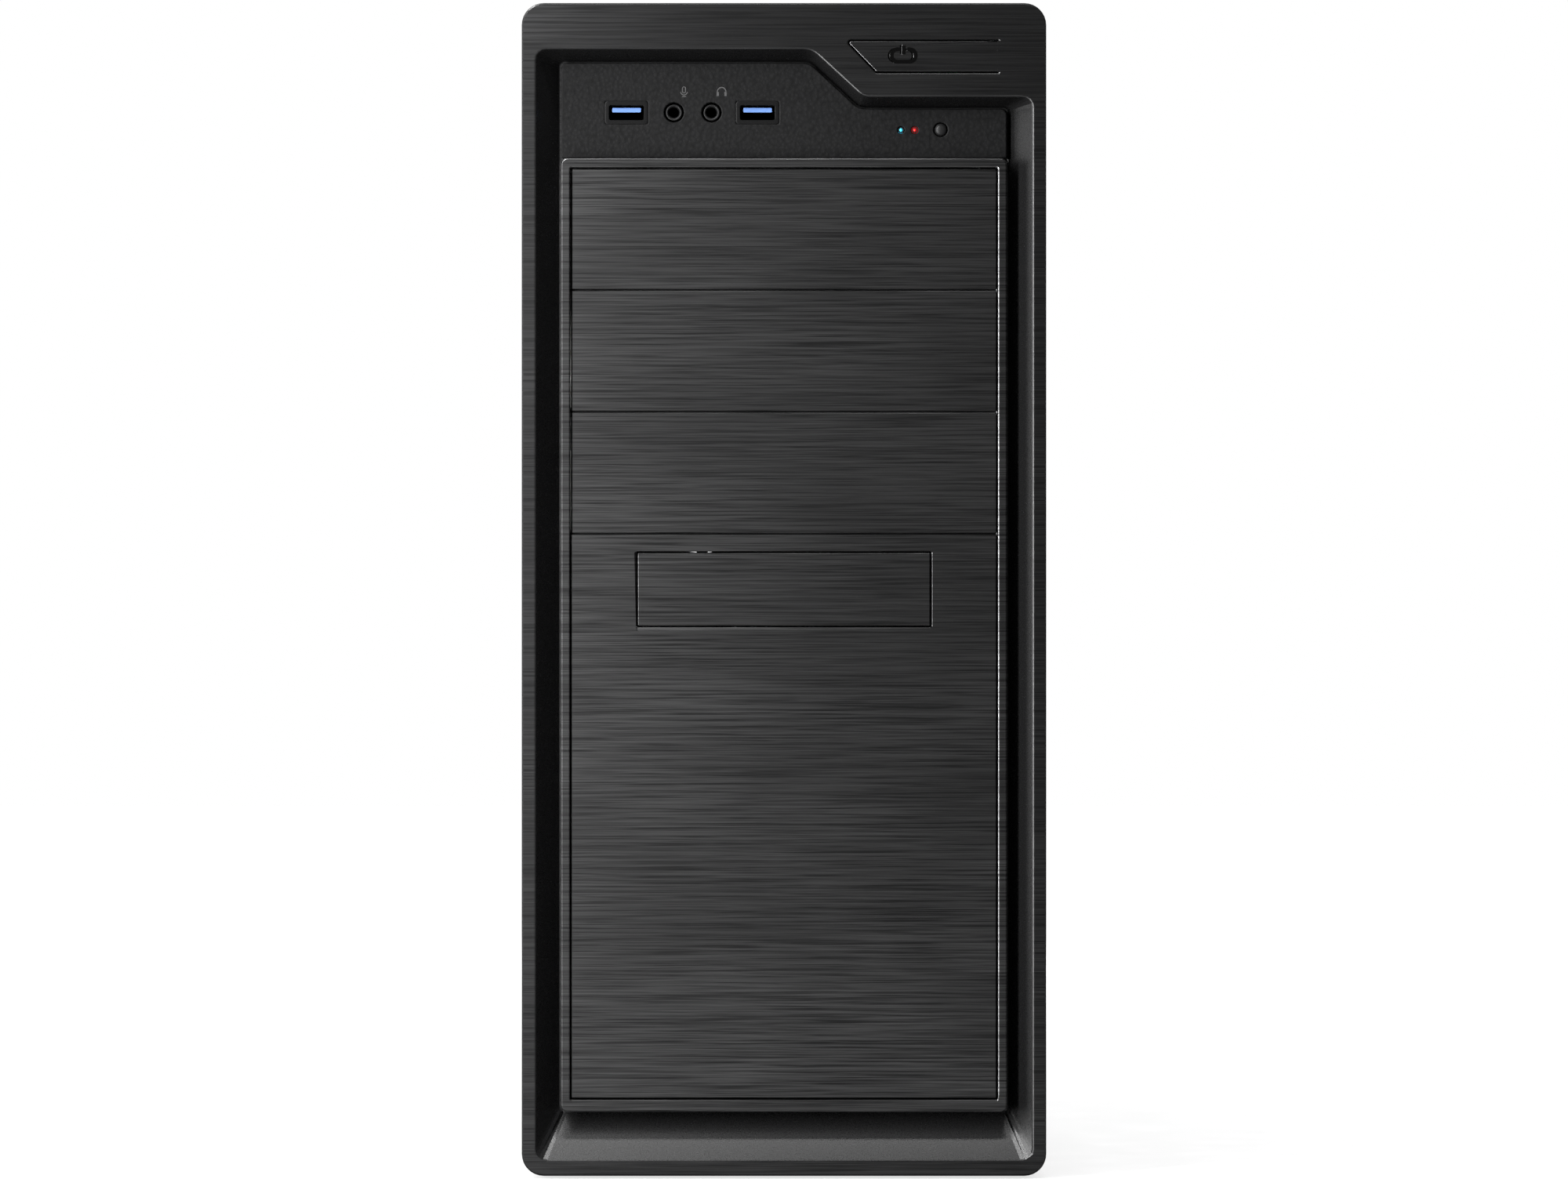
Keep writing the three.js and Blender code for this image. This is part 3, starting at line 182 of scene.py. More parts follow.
def bezel_black(graph):
    """The lip's face is brushed film; the trough, the sides and the inside are smooth moulded plastic."""
    colour, film_roughness, film_normal = brushed(graph, *LIP_FILM)
    facing = graph.node("ShaderNodeNewGeometry").outputs["Normal"]
    parts = graph.node("ShaderNodeSeparateXYZ", {"Vector": facing}).outputs
    filmed = graph.remap(parts["Y"], -0.985, -0.93, 1.0, 0.0)
    speck = graph.noise(2600, 1.0)
    plain = graph.mix(speck, (0.004, 0.004, 0.0041), (0.007, 0.007, 0.0072))
    plain_roughness = graph.math(
        "MULTIPLY", graph.spread(speck, 0.26, 0.31), graph.math("SUBTRACT", 1.0, filmed)
    )
    from_edge = graph.math("ABSOLUTE", graph.math("ADD", parts["Y"], 0.80))  # its soft edges shine less
    edge_shine = graph.remap(from_edge, 0.10, 0.15, 0.05, 0.5)
    upward_shine = graph.remap(parts["Z"], 0.1, 0.3, 0.0, 0.5)
    downward_shine = graph.remap(parts["Z"], -0.35, -0.15, 0.06, 0.5)
    shine = graph.math("MAXIMUM", graph.math("MINIMUM", edge_shine, downward_shine), upward_shine)
    colour = graph.mix(filmed, plain, colour)
    roughness = graph.math("ADD", graph.math("MULTIPLY", film_roughness, filmed), plain_roughness)
    normal = graph.mix(filmed, graph.bump(speck, 0.008 * MM, 0.4), film_normal, "VECTOR")
    across = graph.math("MULTIPLY", filmed, SPREAD)
    return surface(colour, roughness, normal, filmed, shine, Anisotropic=across, Tangent=graph.upright())


def grained_black(graph):
    """Matt plastic with a fine leather-like grain."""
    grain = graph.cells(850, "SMOOTH_F1")
    pores = graph.noise(2600, 2.0)
    height = graph.blend(grain, 0.7, pores)
    tone = graph.mix(graph.remap(height, 0.2, 0.7, 0.0, 1.0), (0.006, 0.006, 0.0062), (0.003, 0.003, 0.0031))
    return surface(tone, graph.spread(pores, 0.44, 0.56), graph.bump(height, 0.14 * MM, 0.8), shine=0.06)


def smooth_plastic(dark, light, low, high, shine, grain=2600):
    """Smooth moulded plastic, slightly mottled, with a roughness between low and high."""

    def build(graph):
        speck = graph.noise((grain, grain, grain), 2.0)
        tone = graph.mix(speck, dark, light)
        return surface(tone, graph.spread(speck, low, high), graph.bump(speck, 0.01 * MM, 0.4), shine=shine)

    return build


def tinted_plastic(*colour):
    """A coloured moulding."""
    deep = tuple(0.8 * part for part in colour)
    return smooth_plastic(deep, colour, 0.40, 0.55, 0.25, 2400)


def ink(dark, light, low=0.5, high=0.7, shine=0.5):
    """A printed or filled mark, slightly uneven, with a roughness between low and high."""

    def build(graph):
        patches = graph.noise(1500, 3.0)
        return surface(graph.mix(patches, dark, light), graph.spread(patches, low, high), shine=shine)

    return build


def matt_black(graph):
    """Moulded plastic with a faint spark-eroded texture."""
    speck = graph.noise(3200, 2.0)
    wear = graph.noise(60, 3.0)
    tone = graph.mix(wear, (0.016, 0.016, 0.017), (0.026, 0.026, 0.027))
    roughness = graph.remap(graph.math("ADD", speck, graph.math("MULTIPLY", wear, 0.5)), 0.5, 1.0, 0.42, 0.6)
    return surface(tone, roughness, graph.bump(speck, 0.03 * MM, 0.5))


def rubber(graph):
    """Black rubber with dust in its pores."""
    dust = graph.noise(300, 4.0, 0.7)
    tone = graph.mix(graph.remap(dust, 0.45, 0.75, 0.0, 1.0), (0.014, 0.014, 0.014), (0.035, 0.034, 0.032))
    return surface(tone, graph.spread(dust, 0.7, 0.92), graph.bump(dust, 0.06 * MM, 0.6), shine=0.3)


def painted_steel(graph):
    """Black powder coat: a tight orange peel with small dull patches."""
    peel = graph.noise(1500, 2.0, 0.55)
    soft = graph.noise(28, 3.0)
    tone = graph.mix(soft, (0.020, 0.020, 0.021), (0.030, 0.030, 0.032))
    roughness = graph.remap(graph.math("ADD", peel, soft), 0.6, 1.4, 0.66, 0.80)
    return surface(tone, roughness, graph.bump(peel, 0.05 * MM, 0.55), shine=0.3)


def bare_steel(graph):
    """Zinc-coated sheet: pale crystals a few millimetres across, and fine rolling lines."""
    crystal = graph.cells(170, "F1", "Color")
    tint = graph.node("ShaderNodeRGBToBW", {"Color": crystal}).outputs[0]
    rolling = graph.noise((18, 18, 1300), 2.0)
    shade = graph.blend(tint, 0.6, rolling)
    tone = graph.mix(graph.remap(shade, 0.25, 0.75, 0.0, 1.0), (0.44, 0.45, 0.46), (0.60, 0.61, 0.62))
    return surface(tone, graph.remap(shade, 0.2, 0.8, 0.50, 0.36), graph.bump(rolling, 0.01 * MM, 0.4), 0.9)


def shaded_inner_steel(graph):
    """The galvanised sheet inside the case: duller than the outer sheet, and darkened to a third of its tone
    as painted shade.
    """
    crystal = graph.cells(150, "F1", "Color")
    tint = graph.node("ShaderNodeRGBToBW", {"Color": crystal}).outputs[0]
    # Painted shade: these tones are a third of the outer sheet's.
    tone = graph.mix(graph.remap(tint, 0.25, 0.75, 0.0, 1.0), (0.14, 0.145, 0.15), (0.20, 0.205, 0.21))
    rolling = graph.noise((18, 18, 1300), 2.0)
    return surface(tone, graph.remap(tint, 0.2, 0.8, 0.66, 0.54), graph.bump(rolling, 0.01 * MM, 0.4), 0.7)


def bright_metal(graph):
    """Nickel plate with faint drawing lines and finger marks."""
    lines = graph.noise((400, 400, 3000), 2.0)
    marks = graph.noise(220, 3.0)
    tone = graph.mix(marks, (0.62, 0.63, 0.64), (0.78, 0.79, 0.80))
    roughness = graph.remap(graph.math("ADD", lines, marks), 0.6, 1.4, 0.18, 0.36)
    return surface(tone, roughness, graph.bump(lines, 0.01 * MM, 0.3), 1.0)


def aluminium(graph):
    """Extruded or cast aluminium with lengthwise lines."""
    lines = graph.noise((2200, 60, 60), 3.0)
    cast = graph.noise(500, 3.0)
    tone = graph.mix(lines, (0.55, 0.56, 0.58), (0.72, 0.73, 0.75))
    normal = graph.bump(graph.math("ADD", lines, cast), 0.02 * MM, 0.5)
    return surface(tone, graph.spread(cast, 0.30, 0.48), normal, 1.0)


def circuit_board(graph):
    """Green solder mask over copper tracks that run in straight lanes, with tinned pads."""
    coordinates = graph.place(420)
    lanes = graph.node(
        "ShaderNodeTexBrick",
        {"Vector": coordinates, "Scale": 1.0, "Mortar Size": 0.12, "Brick Width": 6.0, "Row Height": 0.8},
    ).outputs["Fac"]
    pads = graph.cells(260)
    pad = graph.remap(pads, 0.13, 0.10, 0.0, 1.0)
    track = graph.mix(lanes, (0.008, 0.060, 0.022), (0.014, 0.115, 0.040))
    roughness = graph.spread(graph.noise(900), 0.26, 0.4)
    normal = graph.bump(graph.math("MAXIMUM", lanes, pad), 0.03 * MM, 0.6)
    return surface(graph.mix(pad, track, (0.55, 0.55, 0.52)), roughness, normal, pad)


def cable_sleeve(dark, light):
    """Wire insulation with scuffs."""

    def build(graph):
        scuff = graph.noise(700, 3.0)
        tone = graph.mix(scuff, dark, light)
        return surface(tone, graph.spread(scuff, 0.35, 0.55), graph.bump(scuff, 0.04 * MM, 0.5))

    return build


def lamp(tint, glow):
    """A tinted, slightly frosted lens that glows evenly."""

    def build(graph):
        frost = graph.noise(1800, 2.0)
        tone = graph.mix(frost, tint, tuple(1.25 * part for part in tint))
        inputs = surface(tone, graph.spread(frost, 0.12, 0.24), graph.bump(frost, 0.01 * MM, 0.4))
        return inputs | {"Emission Color": (*tint, 1.0), "Emission Strength": glow}

    return build


def io_steel(graph):
    """Thin satin plate of the socket shield, with upright rolling lines."""
    rolling = graph.noise((1300, 18, 18), 2.0)
    marks = graph.noise(90, 3.0)
    tone = graph.mix(marks, (0.50, 0.51, 0.52), (0.62, 0.63, 0.64))
    roughness = graph.remap(graph.math("ADD", rolling, marks), 0.6, 1.4, 0.34, 0.5)
    return surface(tone, roughness, graph.bump(rolling, 0.01 * MM, 0.4), 1.0)


def gold(graph):
    """Gold plate with fine drawing lines."""
    lines = graph.noise((3000, 200, 3000), 2.0)
    tone = graph.mix(lines, (0.72, 0.50, 0.18), (0.88, 0.66, 0.30))
    return surface(tone, graph.spread(lines, 0.18, 0.34), metallic=1.0)


BUILDERS = {
    "brushed_black": film(*COVER_FILM),
    "bezel_black": bezel_black,
    "button_black": film(*LIP_FILM),
    "grained_black": grained_black,
    "socket_black": smooth_plastic((0.006, 0.006, 0.0062), (0.010, 0.010, 0.0103), 0.36, 0.46, 0.16),
    "socket_rim": smooth_plastic((0.0016, 0.0016, 0.0017), (0.0030, 0.0030, 0.0031), 0.36, 0.46, 0.08),
    "matt_black": matt_black,
    "soft_black": rubber,
    "painted_steel": painted_steel,
    "bare_steel": bare_steel,
    "shaded_inner_steel": shaded_inner_steel,
    "bright_steel": bright_metal,
    "aluminium": aluminium,
    "circuit_board": circuit_board,
    "power_lamp": lamp((0.045, 0.50, 0.75), 0.5),
    "drive_lamp": lamp((0.60, 0.008, 0.008), 0.4),
    "black_cable": cable_sleeve((0.012, 0.012, 0.013), (0.03, 0.03, 0.032)),
    "red_cable": cable_sleeve((0.22, 0.012, 0.012), (0.36, 0.02, 0.02)),
    "blue_plastic": tinted_plastic(0.085, 0.165, 0.38),
    "light_blue_plastic": tinted_plastic(0.10, 0.36, 0.62),
    "green_plastic": tinted_plastic(0.10, 0.42, 0.12),
    "pink_plastic": tinted_plastic(0.62, 0.20, 0.28),
    "purple_plastic": tinted_plastic(0.20, 0.11, 0.36),
    "amber_plastic": tinted_plastic(0.62, 0.30, 0.04),
    "io_steel": io_steel,
    "pale_mark": ink((0.55, 0.55, 0.54), (0.75, 0.75, 0.74)),
    "gold": gold,
    "printed_mark": ink((0.011, 0.011, 0.0113), (0.017, 0.017, 0.0174)),
    "sunk_mark": ink((0.0004, 0.0004, 0.0004), (0.001, 0.001, 0.001), 0.6, 0.8, 0.02),
}
LOOKS = {name: material(name, build) for name, build in BUILDERS.items()}


# ---- Dressing the CAD nodes ----
EDGE_WIDTHS = {  # how wide the edges of which nodes are rounded, in millimetres
    0.5: ["front_bezel", "centre_frame", "rear_fan_frame", "cpu_fan_frame"],
    0.4: ["psu_case", "hard_drive"],
    0.35: ["io_panel", "left_side_panel", "right_side_panel"],
    0.3: ["bay_cover_upper", "bay_cover_middle", "bay_cover_lower", "lower_panel", "small_bay_cover",
          "top_cover", "bottom_pan"],
    0.22: ["power_button"],
    0.15: ["front_wall", "motherboard_tray", "drive_bay_cage", "hard_drive_cage", "io_bracket",
           "motherboard", "cpu_heatsink"],
    0.12: ["ram_module_1", "ram_module_2"],
    0.1: ["socket_board", "switch_board"],
}
CHAMFERED = ["bay_cover_upper", "bay_cover_middle", "bay_cover_lower", "lower_panel", "small_bay_cover"]
HOLED = ["centre_frame", "front_wall"]  # the bevel would fold their flat faces, which have large holes
INNER_SHEETS = ["front_wall", "drive_bay_cage", "hard_drive_cage", "io_bracket", "motherboard_tray"]
NODE_LOOKS = {"front_bezel": "bezel_black", "power_button": "button_black", "io_panel": "grained_black"}
# The sheets inside the case take the darker copy of the galvanised steel, as painted shade.
NODE_LOOKS.update({node: "shaded_inner_steel" for node in INNER_SHEETS})
WELD_GAP = 0.002  # mm
FLAT_ANGLE = math.radians(1)  # faces within it are one flat face
SHARP_ANGLE = math.radians(35)  # edges over it are sharp


def dress(node, look):
    """Gives a CAD node its material."""
    dressed = frame["nodes"][node].data.materials
    dressed.clear()
    dressed.append(LOOKS[look])


def round_edges(node, width):
    """Rounds a CAD node's sharp edges by a width in millimetres."""
    modifiers = frame["nodes"][node].modifiers
    modifiers.new("weld", "WELD").merge_threshold = WELD_GAP * MM
    flat = modifiers.new("flat", "DECIMATE")
    flat.decimate_type = "DISSOLVE"
    flat.angle_limit = FLAT_ANGLE
    if node in HOLED:
        modifiers.new("triangles", "TRIANGULATE")
    bevel = modifiers.new("edges", "BEVEL")
    bevel.width = width * MM
    bevel.segments = 1 if node in CHAMFERED else 2
    bevel.limit_method = "ANGLE"
    bevel.angle_limit = SHARP_ANGLE
    bevel.use_clamp_overlap = False
    bevel.miter_outer = "MITER_ARC"


for part in frame["record"]["subparts"]:
    dress(part["node"], NODE_LOOKS.get(part["node"], part["material_slot"]))
for width, nodes in EDGE_WIDTHS.items():
    for node in nodes:
        round_edges(node, width)


# ---- Drawing pieces: shapes are in millimetres, in the row's frame ----
def node_box(node):
    """A CAD node's low and high corners in millimetres."""
    low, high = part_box(node)
    return low / MM, high / MM


def centred(node):
    """A CAD node's low and high corners, and the x and z of its middle."""
    low, high = node_box(node)
    return low, high, (low.x + high.x) / 2, (low.z + high.z) / 2


def piece(name, shape, body, look, stands_for=()):
    """Turns a shape into a named piece that moves with a body and may stand for CAD nodes."""
    bmesh.ops.scale(shape, vec=(MM, MM, MM), verts=shape.verts)
    bmesh.ops.recalc_face_normals(shape, faces=shape.faces)
    mesh = bpy.data.meshes.new(name)
    shape.to_mesh(mesh)
    shape.free()
    mesh.shade_smooth()
    mesh.set_sharp_from_angle(angle=SHARP_ANGLE)
    mesh.materials.append(LOOKS[look])
    made = bpy.data.objects.new(name, mesh)
    bpy.context.scene.collection.objects.link(made)
    made.modifiers.new("even_shading", "WEIGHTED_NORMAL").keep_sharp = True
    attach(made, body)
    if stands_for:
        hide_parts(*stands_for)


def skin(shape, rings, caps=True, turn=None, closed=False):
    """Joins rings of as many points each into one surface. Its ends are filled, left open or joined."""
    rows = [[shape.verts.new(turn @ Vector(p) if turn else p) for p in ring] for ring in rings]
    count = len(rows[0])
    for here, there in zip(rows, rows[1:] + rows[:1] if closed else rows[1:]):
        for i in range(count):
            j = (i + 1) % count
            shape.faces.new((here[i], here[j], there[j], there[i]))
    if caps and not closed:
        shape.faces.new(rows[0][::-1])
        shape.faces.new(rows[-1])


def circle(x, y, z, radius, sides):
    """A ring of points round an axis along Y."""
    turns = [2 * math.pi * i / sides for i in range(sides)]
    return [(x + radius * math.cos(a), y, z + radius * math.sin(a)) for a in turns]


def turned(shape, x, y, z, profile, sides=40, **ends):
    """A solid of revolution about an axis along Y: its profile is a list of (radius, distance from y)."""
    skin(shape, [circle(x, y + away, z, radius, sides) for radius, away in profile], **ends)


def rounded(x0, x1, z0, z1, corner, steps=4):
    """The outline of a rectangle with round corners, as (x, z) pairs."""
    points = []
    left, right, bottom, top = x0 + corner, x1 - corner, z0 + corner, z1 - corner
    for quarter, (x, z) in enumerate([(right, bottom), (right, top), (left, top), (left, bottom)]):
        points += arc(x, z, corner, corner, 90 * (quarter - 1), 90 * quarter, steps)
    return points


def at(outline, y):
    """An outline of (x, z) pairs as points at one y."""
    return [(x, y, z) for x, z in outline]


def block(shape, x0, x1, y0, y1, z0, z1, edge=0.3):
    """A box with rounded edges."""
    rings = []
    steps = [(edge, 0.0), (edge * 0.3, edge * 0.3), (0.0, edge)]  # inset from the sides and from the end
    near = [(inset, y0 + away) for inset, away in steps]
    far = [(inset, y1 - away) for inset, away in steps[::-1]]
    for inset, y in near + far:
        corner = max(edge * 1.4 - inset, 0.02)
        rings.append(at(rounded(x0 + inset, x1 - inset, z0 + inset, z1 - inset, corner, 3), y))
    skin(shape, rings)


def ribbon(shape, points, width, y0, y1, turn=None):
    """A flat line of one width drawn through (x, z) points, from y0 to y1."""
    sides = []
    for i, (x, z) in enumerate(points):
        before = points[max(i - 1, 0)]
        after = points[min(i + 1, len(points) - 1)]
        along = Vector((after[0] - before[0], after[1] - before[1])).normalized()
        across = Vector((-along.y, along.x)) * width / 2
        sides.append(((x + across.x, z + across.y), (x - across.x, z - across.y)))
    rings = [[(a[0], y0, a[1]), (b[0], y0, b[1]), (b[0], y1, b[1]), (a[0], y1, a[1])] for a, b in sides]
    skin(shape, rings, turn=turn)


def tube(shape, points, radius, closed=False, sides=10):
    """A round wire that runs through points in a plane across Y."""
    path = [Vector(point) for point in points]
    count = len(path)
    rings = []
    for i, here in enumerate(path):
        before = path[i - 1] if i or closed else here
        after = path[(i + 1) % count] if i + 1 < count or closed else here
        across = (after - before).normalized().cross(Vector((0, 1, 0)))
        turns = [2 * math.pi * k / sides for k in range(sides)]
        rings.append([here + radius * (across * math.cos(a) + Vector((0, math.sin(a), 0))) for a in turns])
    skin(shape, rings, closed=closed)


def arc(x, z, radius_x, radius_z, start, end, steps=16):
    """Points (x, z) along an ellipse between two angles in degrees."""
    angles = [math.radians(start + (end - start) * i / steps) for i in range(steps + 1)]
    return [(x + radius_x * math.cos(a), z + radius_z * math.sin(a)) for a in angles]


def hole(x, z, radius, sides):
    """The outline of a round hole, as (x, z) pairs."""
    return arc(x, z, radius, radius, 0, 360 - 360 / sides, sides - 1)


def plate(outer, holes, y0, y1, edge):
    """A shape for a sheet with holes, drawn as outlines of (x, z) pairs, with rounded edges."""
    flat = bpy.data.curves.new("plate", "CURVE")
    flat.dimensions = "2D"
    flat.fill_mode = "BOTH"
    flat.extrude = (y1 - y0) / 2 - edge
    flat.bevel_depth = edge
    flat.bevel_resolution = 1
    flat.offset = -edge
    for outline in [outer, *holes]:
        spline = flat.splines.new("POLY")
        spline.points.add(len(outline) - 1)
        for point, (x, z) in zip(spline.points, outline):
            point.co = (x, z, 0, 1)
        spline.use_cyclic_u = True
    drawn = bpy.data.objects.new("plate", flat)
    bpy.context.scene.collection.objects.link(drawn)
    mesh = drawn.to_mesh()
    shape = bmesh.new()
    shape.from_mesh(mesh)
    bpy.data.objects.remove(drawn)
    bpy.data.curves.remove(flat)
    upright = Matrix.Translation((0, (y0 + y1) / 2, 0)) @ Matrix.Rotation(math.radians(90), 4, "X")
    bmesh.ops.transform(shape, matrix=upright, verts=shape.verts)
    bmesh.ops.remove_doubles(shape, verts=shape.verts, dist=0.001)
    return shape


# ---- Places on the front, in millimetres ----
IO_FACE = node_box("io_panel")[0].y
JACKS = ["microphone_jack", "headphone_jack"]
JACK_Z = centred("usb_port_left")[3] + 0.1
JACK_BORE = 1.77
USB_CONTACTS = (-3.5, -1.0, 1.0, 3.5)  # along a tongue, from its middle
ICON_SHIFT = 3.5  # the icons stand a little to the right of the jacks
ICON_RISE = 7.2
SYMBOL_PLACE = 0.364  # of the power button's width


# ---- Front: power button ----
def hinge_web():
    """The moulded web that joins the power button to the bezel at its right end."""
    low, high = node_box("power_button")
    on_button, on_bezel, above = 0.35, 0.85, 0.2  # how far it reaches over each, and over the button's edges
    proud, thick = 0.01, 0.31
    y0 = low.y - proud
    shape = bmesh.new()
    block(shape, high.x - on_button, high.x + on_bezel, y0, y0 + thick, low.z - above, high.z + above, 0.005)
    piece("power_button_hinge_web", shape, "front_bezel", "bezel_black")


def power_symbol():
    """A flattened ring, open at the top, with a bar standing in the gap."""
    low, high = node_box("power_button")
    x = low.x + SYMBOL_PLACE * (high.x - low.x)
    z = (low.z + high.z) / 2 + 0.3
    half_x, half_z, corner, line, half_gap = 4.15, 2.15, 2.0, 1.35, 1.3
    y0, y1 = low.y - 0.015, low.y + 0.3
    top = z + half_z
    ring = rounded(x - half_x, x + half_x, z - half_z, top, corner, 6)
    before, after = [i for i, (_, pz) in enumerate(ring) if pz > top - 0.01][:2]
    open_ring = [(x - half_gap, top)] + ring[after:] + ring[:before + 1] + [(x + half_gap, top)]
    shape = bmesh.new()
    ribbon(shape, open_ring, line, y0, y1)
    ribbon(shape, [(x, z + 0.4), (x, top + 1.3)], line, y0, y1)
    piece("power_symbol", shape, "power_button", "sunk_mark")


# ---- Front: sockets, lamps and reset button ----
def leaf_spring(shape, x, front, z, lean):
    """A sprung finger off a socket's wall: it bows inwards by lean and meets the wall again at its tip."""
    half, thick = 1.1, 0.2
    leaf = [(x - half, z), (x + half, z), (x + half, z + thick * lean), (x - half, z + thick * lean)]
    bows = [(1.2, 0.0), (5.0, 0.75), (8.0, 0.1)]  # how deep in the socket, and how far off the wall
    skin(shape, [[(px, front + deep, pz + off * lean) for px, pz in leaf] for deep, off in bows])


def usb_port(side):
    """A flared shell with springs, a tongue with contacts, a dark back and the panel's surround."""
    node = "usb_port_" + side
    low, high, x, z = centred(node)
    front = low.y

    def ring(grow, corner, y):
        return at(rounded(low.x - grow, high.x + grow, low.z - grow, high.z + grow, corner), y)

    shell = bmesh.new()
    skin(shell, [
        ring(0, 0.7, high.y),
        ring(0, 0.7, front + 0.8),
        ring(0.15, 0.8, front + 0.25),
        ring(0.2, 0.8, front - 0.1),
        ring(0.05, 0.8, front - 0.3),
        ring(-0.25, 0.6, front - 0.1),
        ring(-0.5, 0.5, front + 0.6),
        ring(-0.55, 0.4, front + 1.5),
        ring(-0.55, 0.4, high.y - 1),
    ])
    for spring_z, lean in ((low.z + 0.6, 1), (high.z - 0.6, -1)):
        for spring_x in (low.x + 3.6, high.x - 3.6):
            leaf_spring(shell, spring_x, front, spring_z, lean)
    piece(node + "_shell", shell, "chassis", "bright_steel", [node])

    half_tongue = 5.05
    tongue_z = z + 0.15
    tongue = bmesh.new()
    block(tongue, x - half_tongue, x + half_tongue, front + 0.4, high.y - 1, tongue_z, tongue_z + 1.7, 0.25)
    piece(node + "_tongue", tongue, "chassis", "blue_plastic")
    contacts = bmesh.new()
    for left in (x + shift - 0.5 for shift in USB_CONTACTS):
        block(contacts, left, left + 1, front + 1.3, high.y - 2, tongue_z - 0.12, tongue_z + 0.1, 0.05)
    piece(node + "_contacts", contacts, "chassis", "gold")
    back = bmesh.new()
    block(back, low.x + 0.6, high.x - 0.6, high.y - 3, high.y - 1, low.z + 0.6, high.z - 0.6, 0.2)
    piece(node + "_back", back, "chassis", "matt_black")
    rim = bmesh.new()
    skin(rim, [
        ring(-0.45, 0.7, IO_FACE + 2.2),
        ring(-0.45, 0.7, IO_FACE + 0.1),
        ring(-0.3, 0.8, IO_FACE - 0.05),
        ring(0.75, 1.0, IO_FACE - 0.08),
        ring(1.0, 1.1, IO_FACE + 0.02),
        ring(1.05, 1.1, IO_FACE + 0.4),
        ring(1.05, 1.1, IO_FACE + 2.2),
    ], caps=False)
    piece(node + "_rim", rim, "front_bezel", "socket_rim")


def audio_jack(node):
    """A collared barrel on a square body, with a contact ring inside."""
    low, high, x, _ = centred(node)
    barrel = [(2.9, 5), (2.9, 0.5), (2.75, 0.15), (2.45, 0), (2.2, 0.12), (2.0, 0.5), (1.85, 1.0)]
    body = bmesh.new()
    turned(body, x, low.y, JACK_Z, barrel + [(JACK_BORE, 1.3), (JACK_BORE, 12)])
    block(body, low.x, high.x, low.y + 4, high.y, low.z, high.z)
    piece(node + "_body", body, "chassis", "socket_black", [node])
    spring = bmesh.new()
    turned(spring, x, low.y, JACK_Z, [(1.76, 4.0), (1.60, 4.3), (1.60, 5.4), (1.76, 5.8)], 24, caps=False)
    piece(node + "_spring", spring, "chassis", "bright_steel")


def lamp_lens(node, look):
    """A domed light pipe on a flange, in a black collar that fills the panel's hole."""
    low, high, x, z = centred(node)
    depth = high.y - low.y
    dome = [(0.05, -0.02), (0.18, 0.02), (0.36, 0.12), (0.50, 0.30), (0.58, 0.56), (0.58, 3.1)]
    flange = [(1.8, 3.1), (1.8, depth), (0.1, depth)]
    shape = bmesh.new()
    turned(shape, x, low.y, z, dome + flange, 32)
    piece(node + "_dome", shape, "front_bezel", look, [node])
    collar = bmesh.new()
    turned(collar, x, low.y, z, [(0.62, 0.5), (0.98, 0.5), (0.98, 3.0), (0.62, 3.0)], 32, closed=True)
    piece(node + "_collar", collar, "front_bezel", "socket_black")


def reset_cap():
    """A domed cap with a flange that keeps it behind the panel, and a stem."""
    low, high, x, z = centred("reset_button")
    depth = high.y - low.y
    dome = [(0.05, 0), (0.8, 0.05), (1.4, 0.2), (1.9, 0.48), (2.15, 0.85), (2.2, 1.2), (2.2, 3.6)]
    flange_and_stem = [(3.6, 3.6), (3.6, 4.8), (1.6, 4.8), (1.6, depth), (0.1, depth)]
    shape = bmesh.new()
    turned(shape, x, low.y, z, dome + flange_and_stem)
    piece("reset_button_cap", shape, "reset_button", "socket_black", ["reset_button"])


def socket_icons():
    """A microphone over the left jack and headphones over the right one, printed on the socket panel."""
    y0, y1 = IO_FACE - 0.02, IO_FACE + 0.1
    line = 0.36
    thin = 0.8 * line
    shape = bmesh.new()
    z = JACK_Z + ICON_RISE

    x = JACK_X[0] + ICON_SHIFT
    capsule = rounded(x - 0.55, x + 0.55, z - 0.4, z + 1.7, 0.54, 5)
    cradle = arc(x, z - 0.1, 1.15, 1.0, 180, 360, 12)
    stem = [(x, z - 1.1), (x, z - 1.65)]
    base = [(x - 0.7, z - 1.7), (x + 0.7, z - 1.7)]
    for stroke in (capsule + capsule[:1], cradle, stem, base):
        ribbon(shape, stroke, thin, y0, y1)

    x = JACK_X[1] + ICON_SHIFT
    ribbon(shape, arc(x, z - 0.1, 1.5, 1.6, 0, 180, 14), line, y0, y1)
    for cup in (x - 1.35, x + 1.35):
        ribbon(shape, [(cup, z - 0.1), (cup, z - 1.5)], 0.8, y0, y1)
    piece("socket_icons", shape, "front_bezel", "printed_mark")


JACK_X = [sum(corner.x for corner in node_box(node)) / 2 for node in ("microphone_jack", "headphone_jack")]
hinge_web()
power_symbol()
usb_port("left")
usb_port("right")
for jack in JACKS:
    audio_jack(jack)
lamp_lens("power_lamp_lens", "power_lamp")
lamp_lens("drive_lamp_lens", "drive_lamp")
reset_cap()
socket_icons()


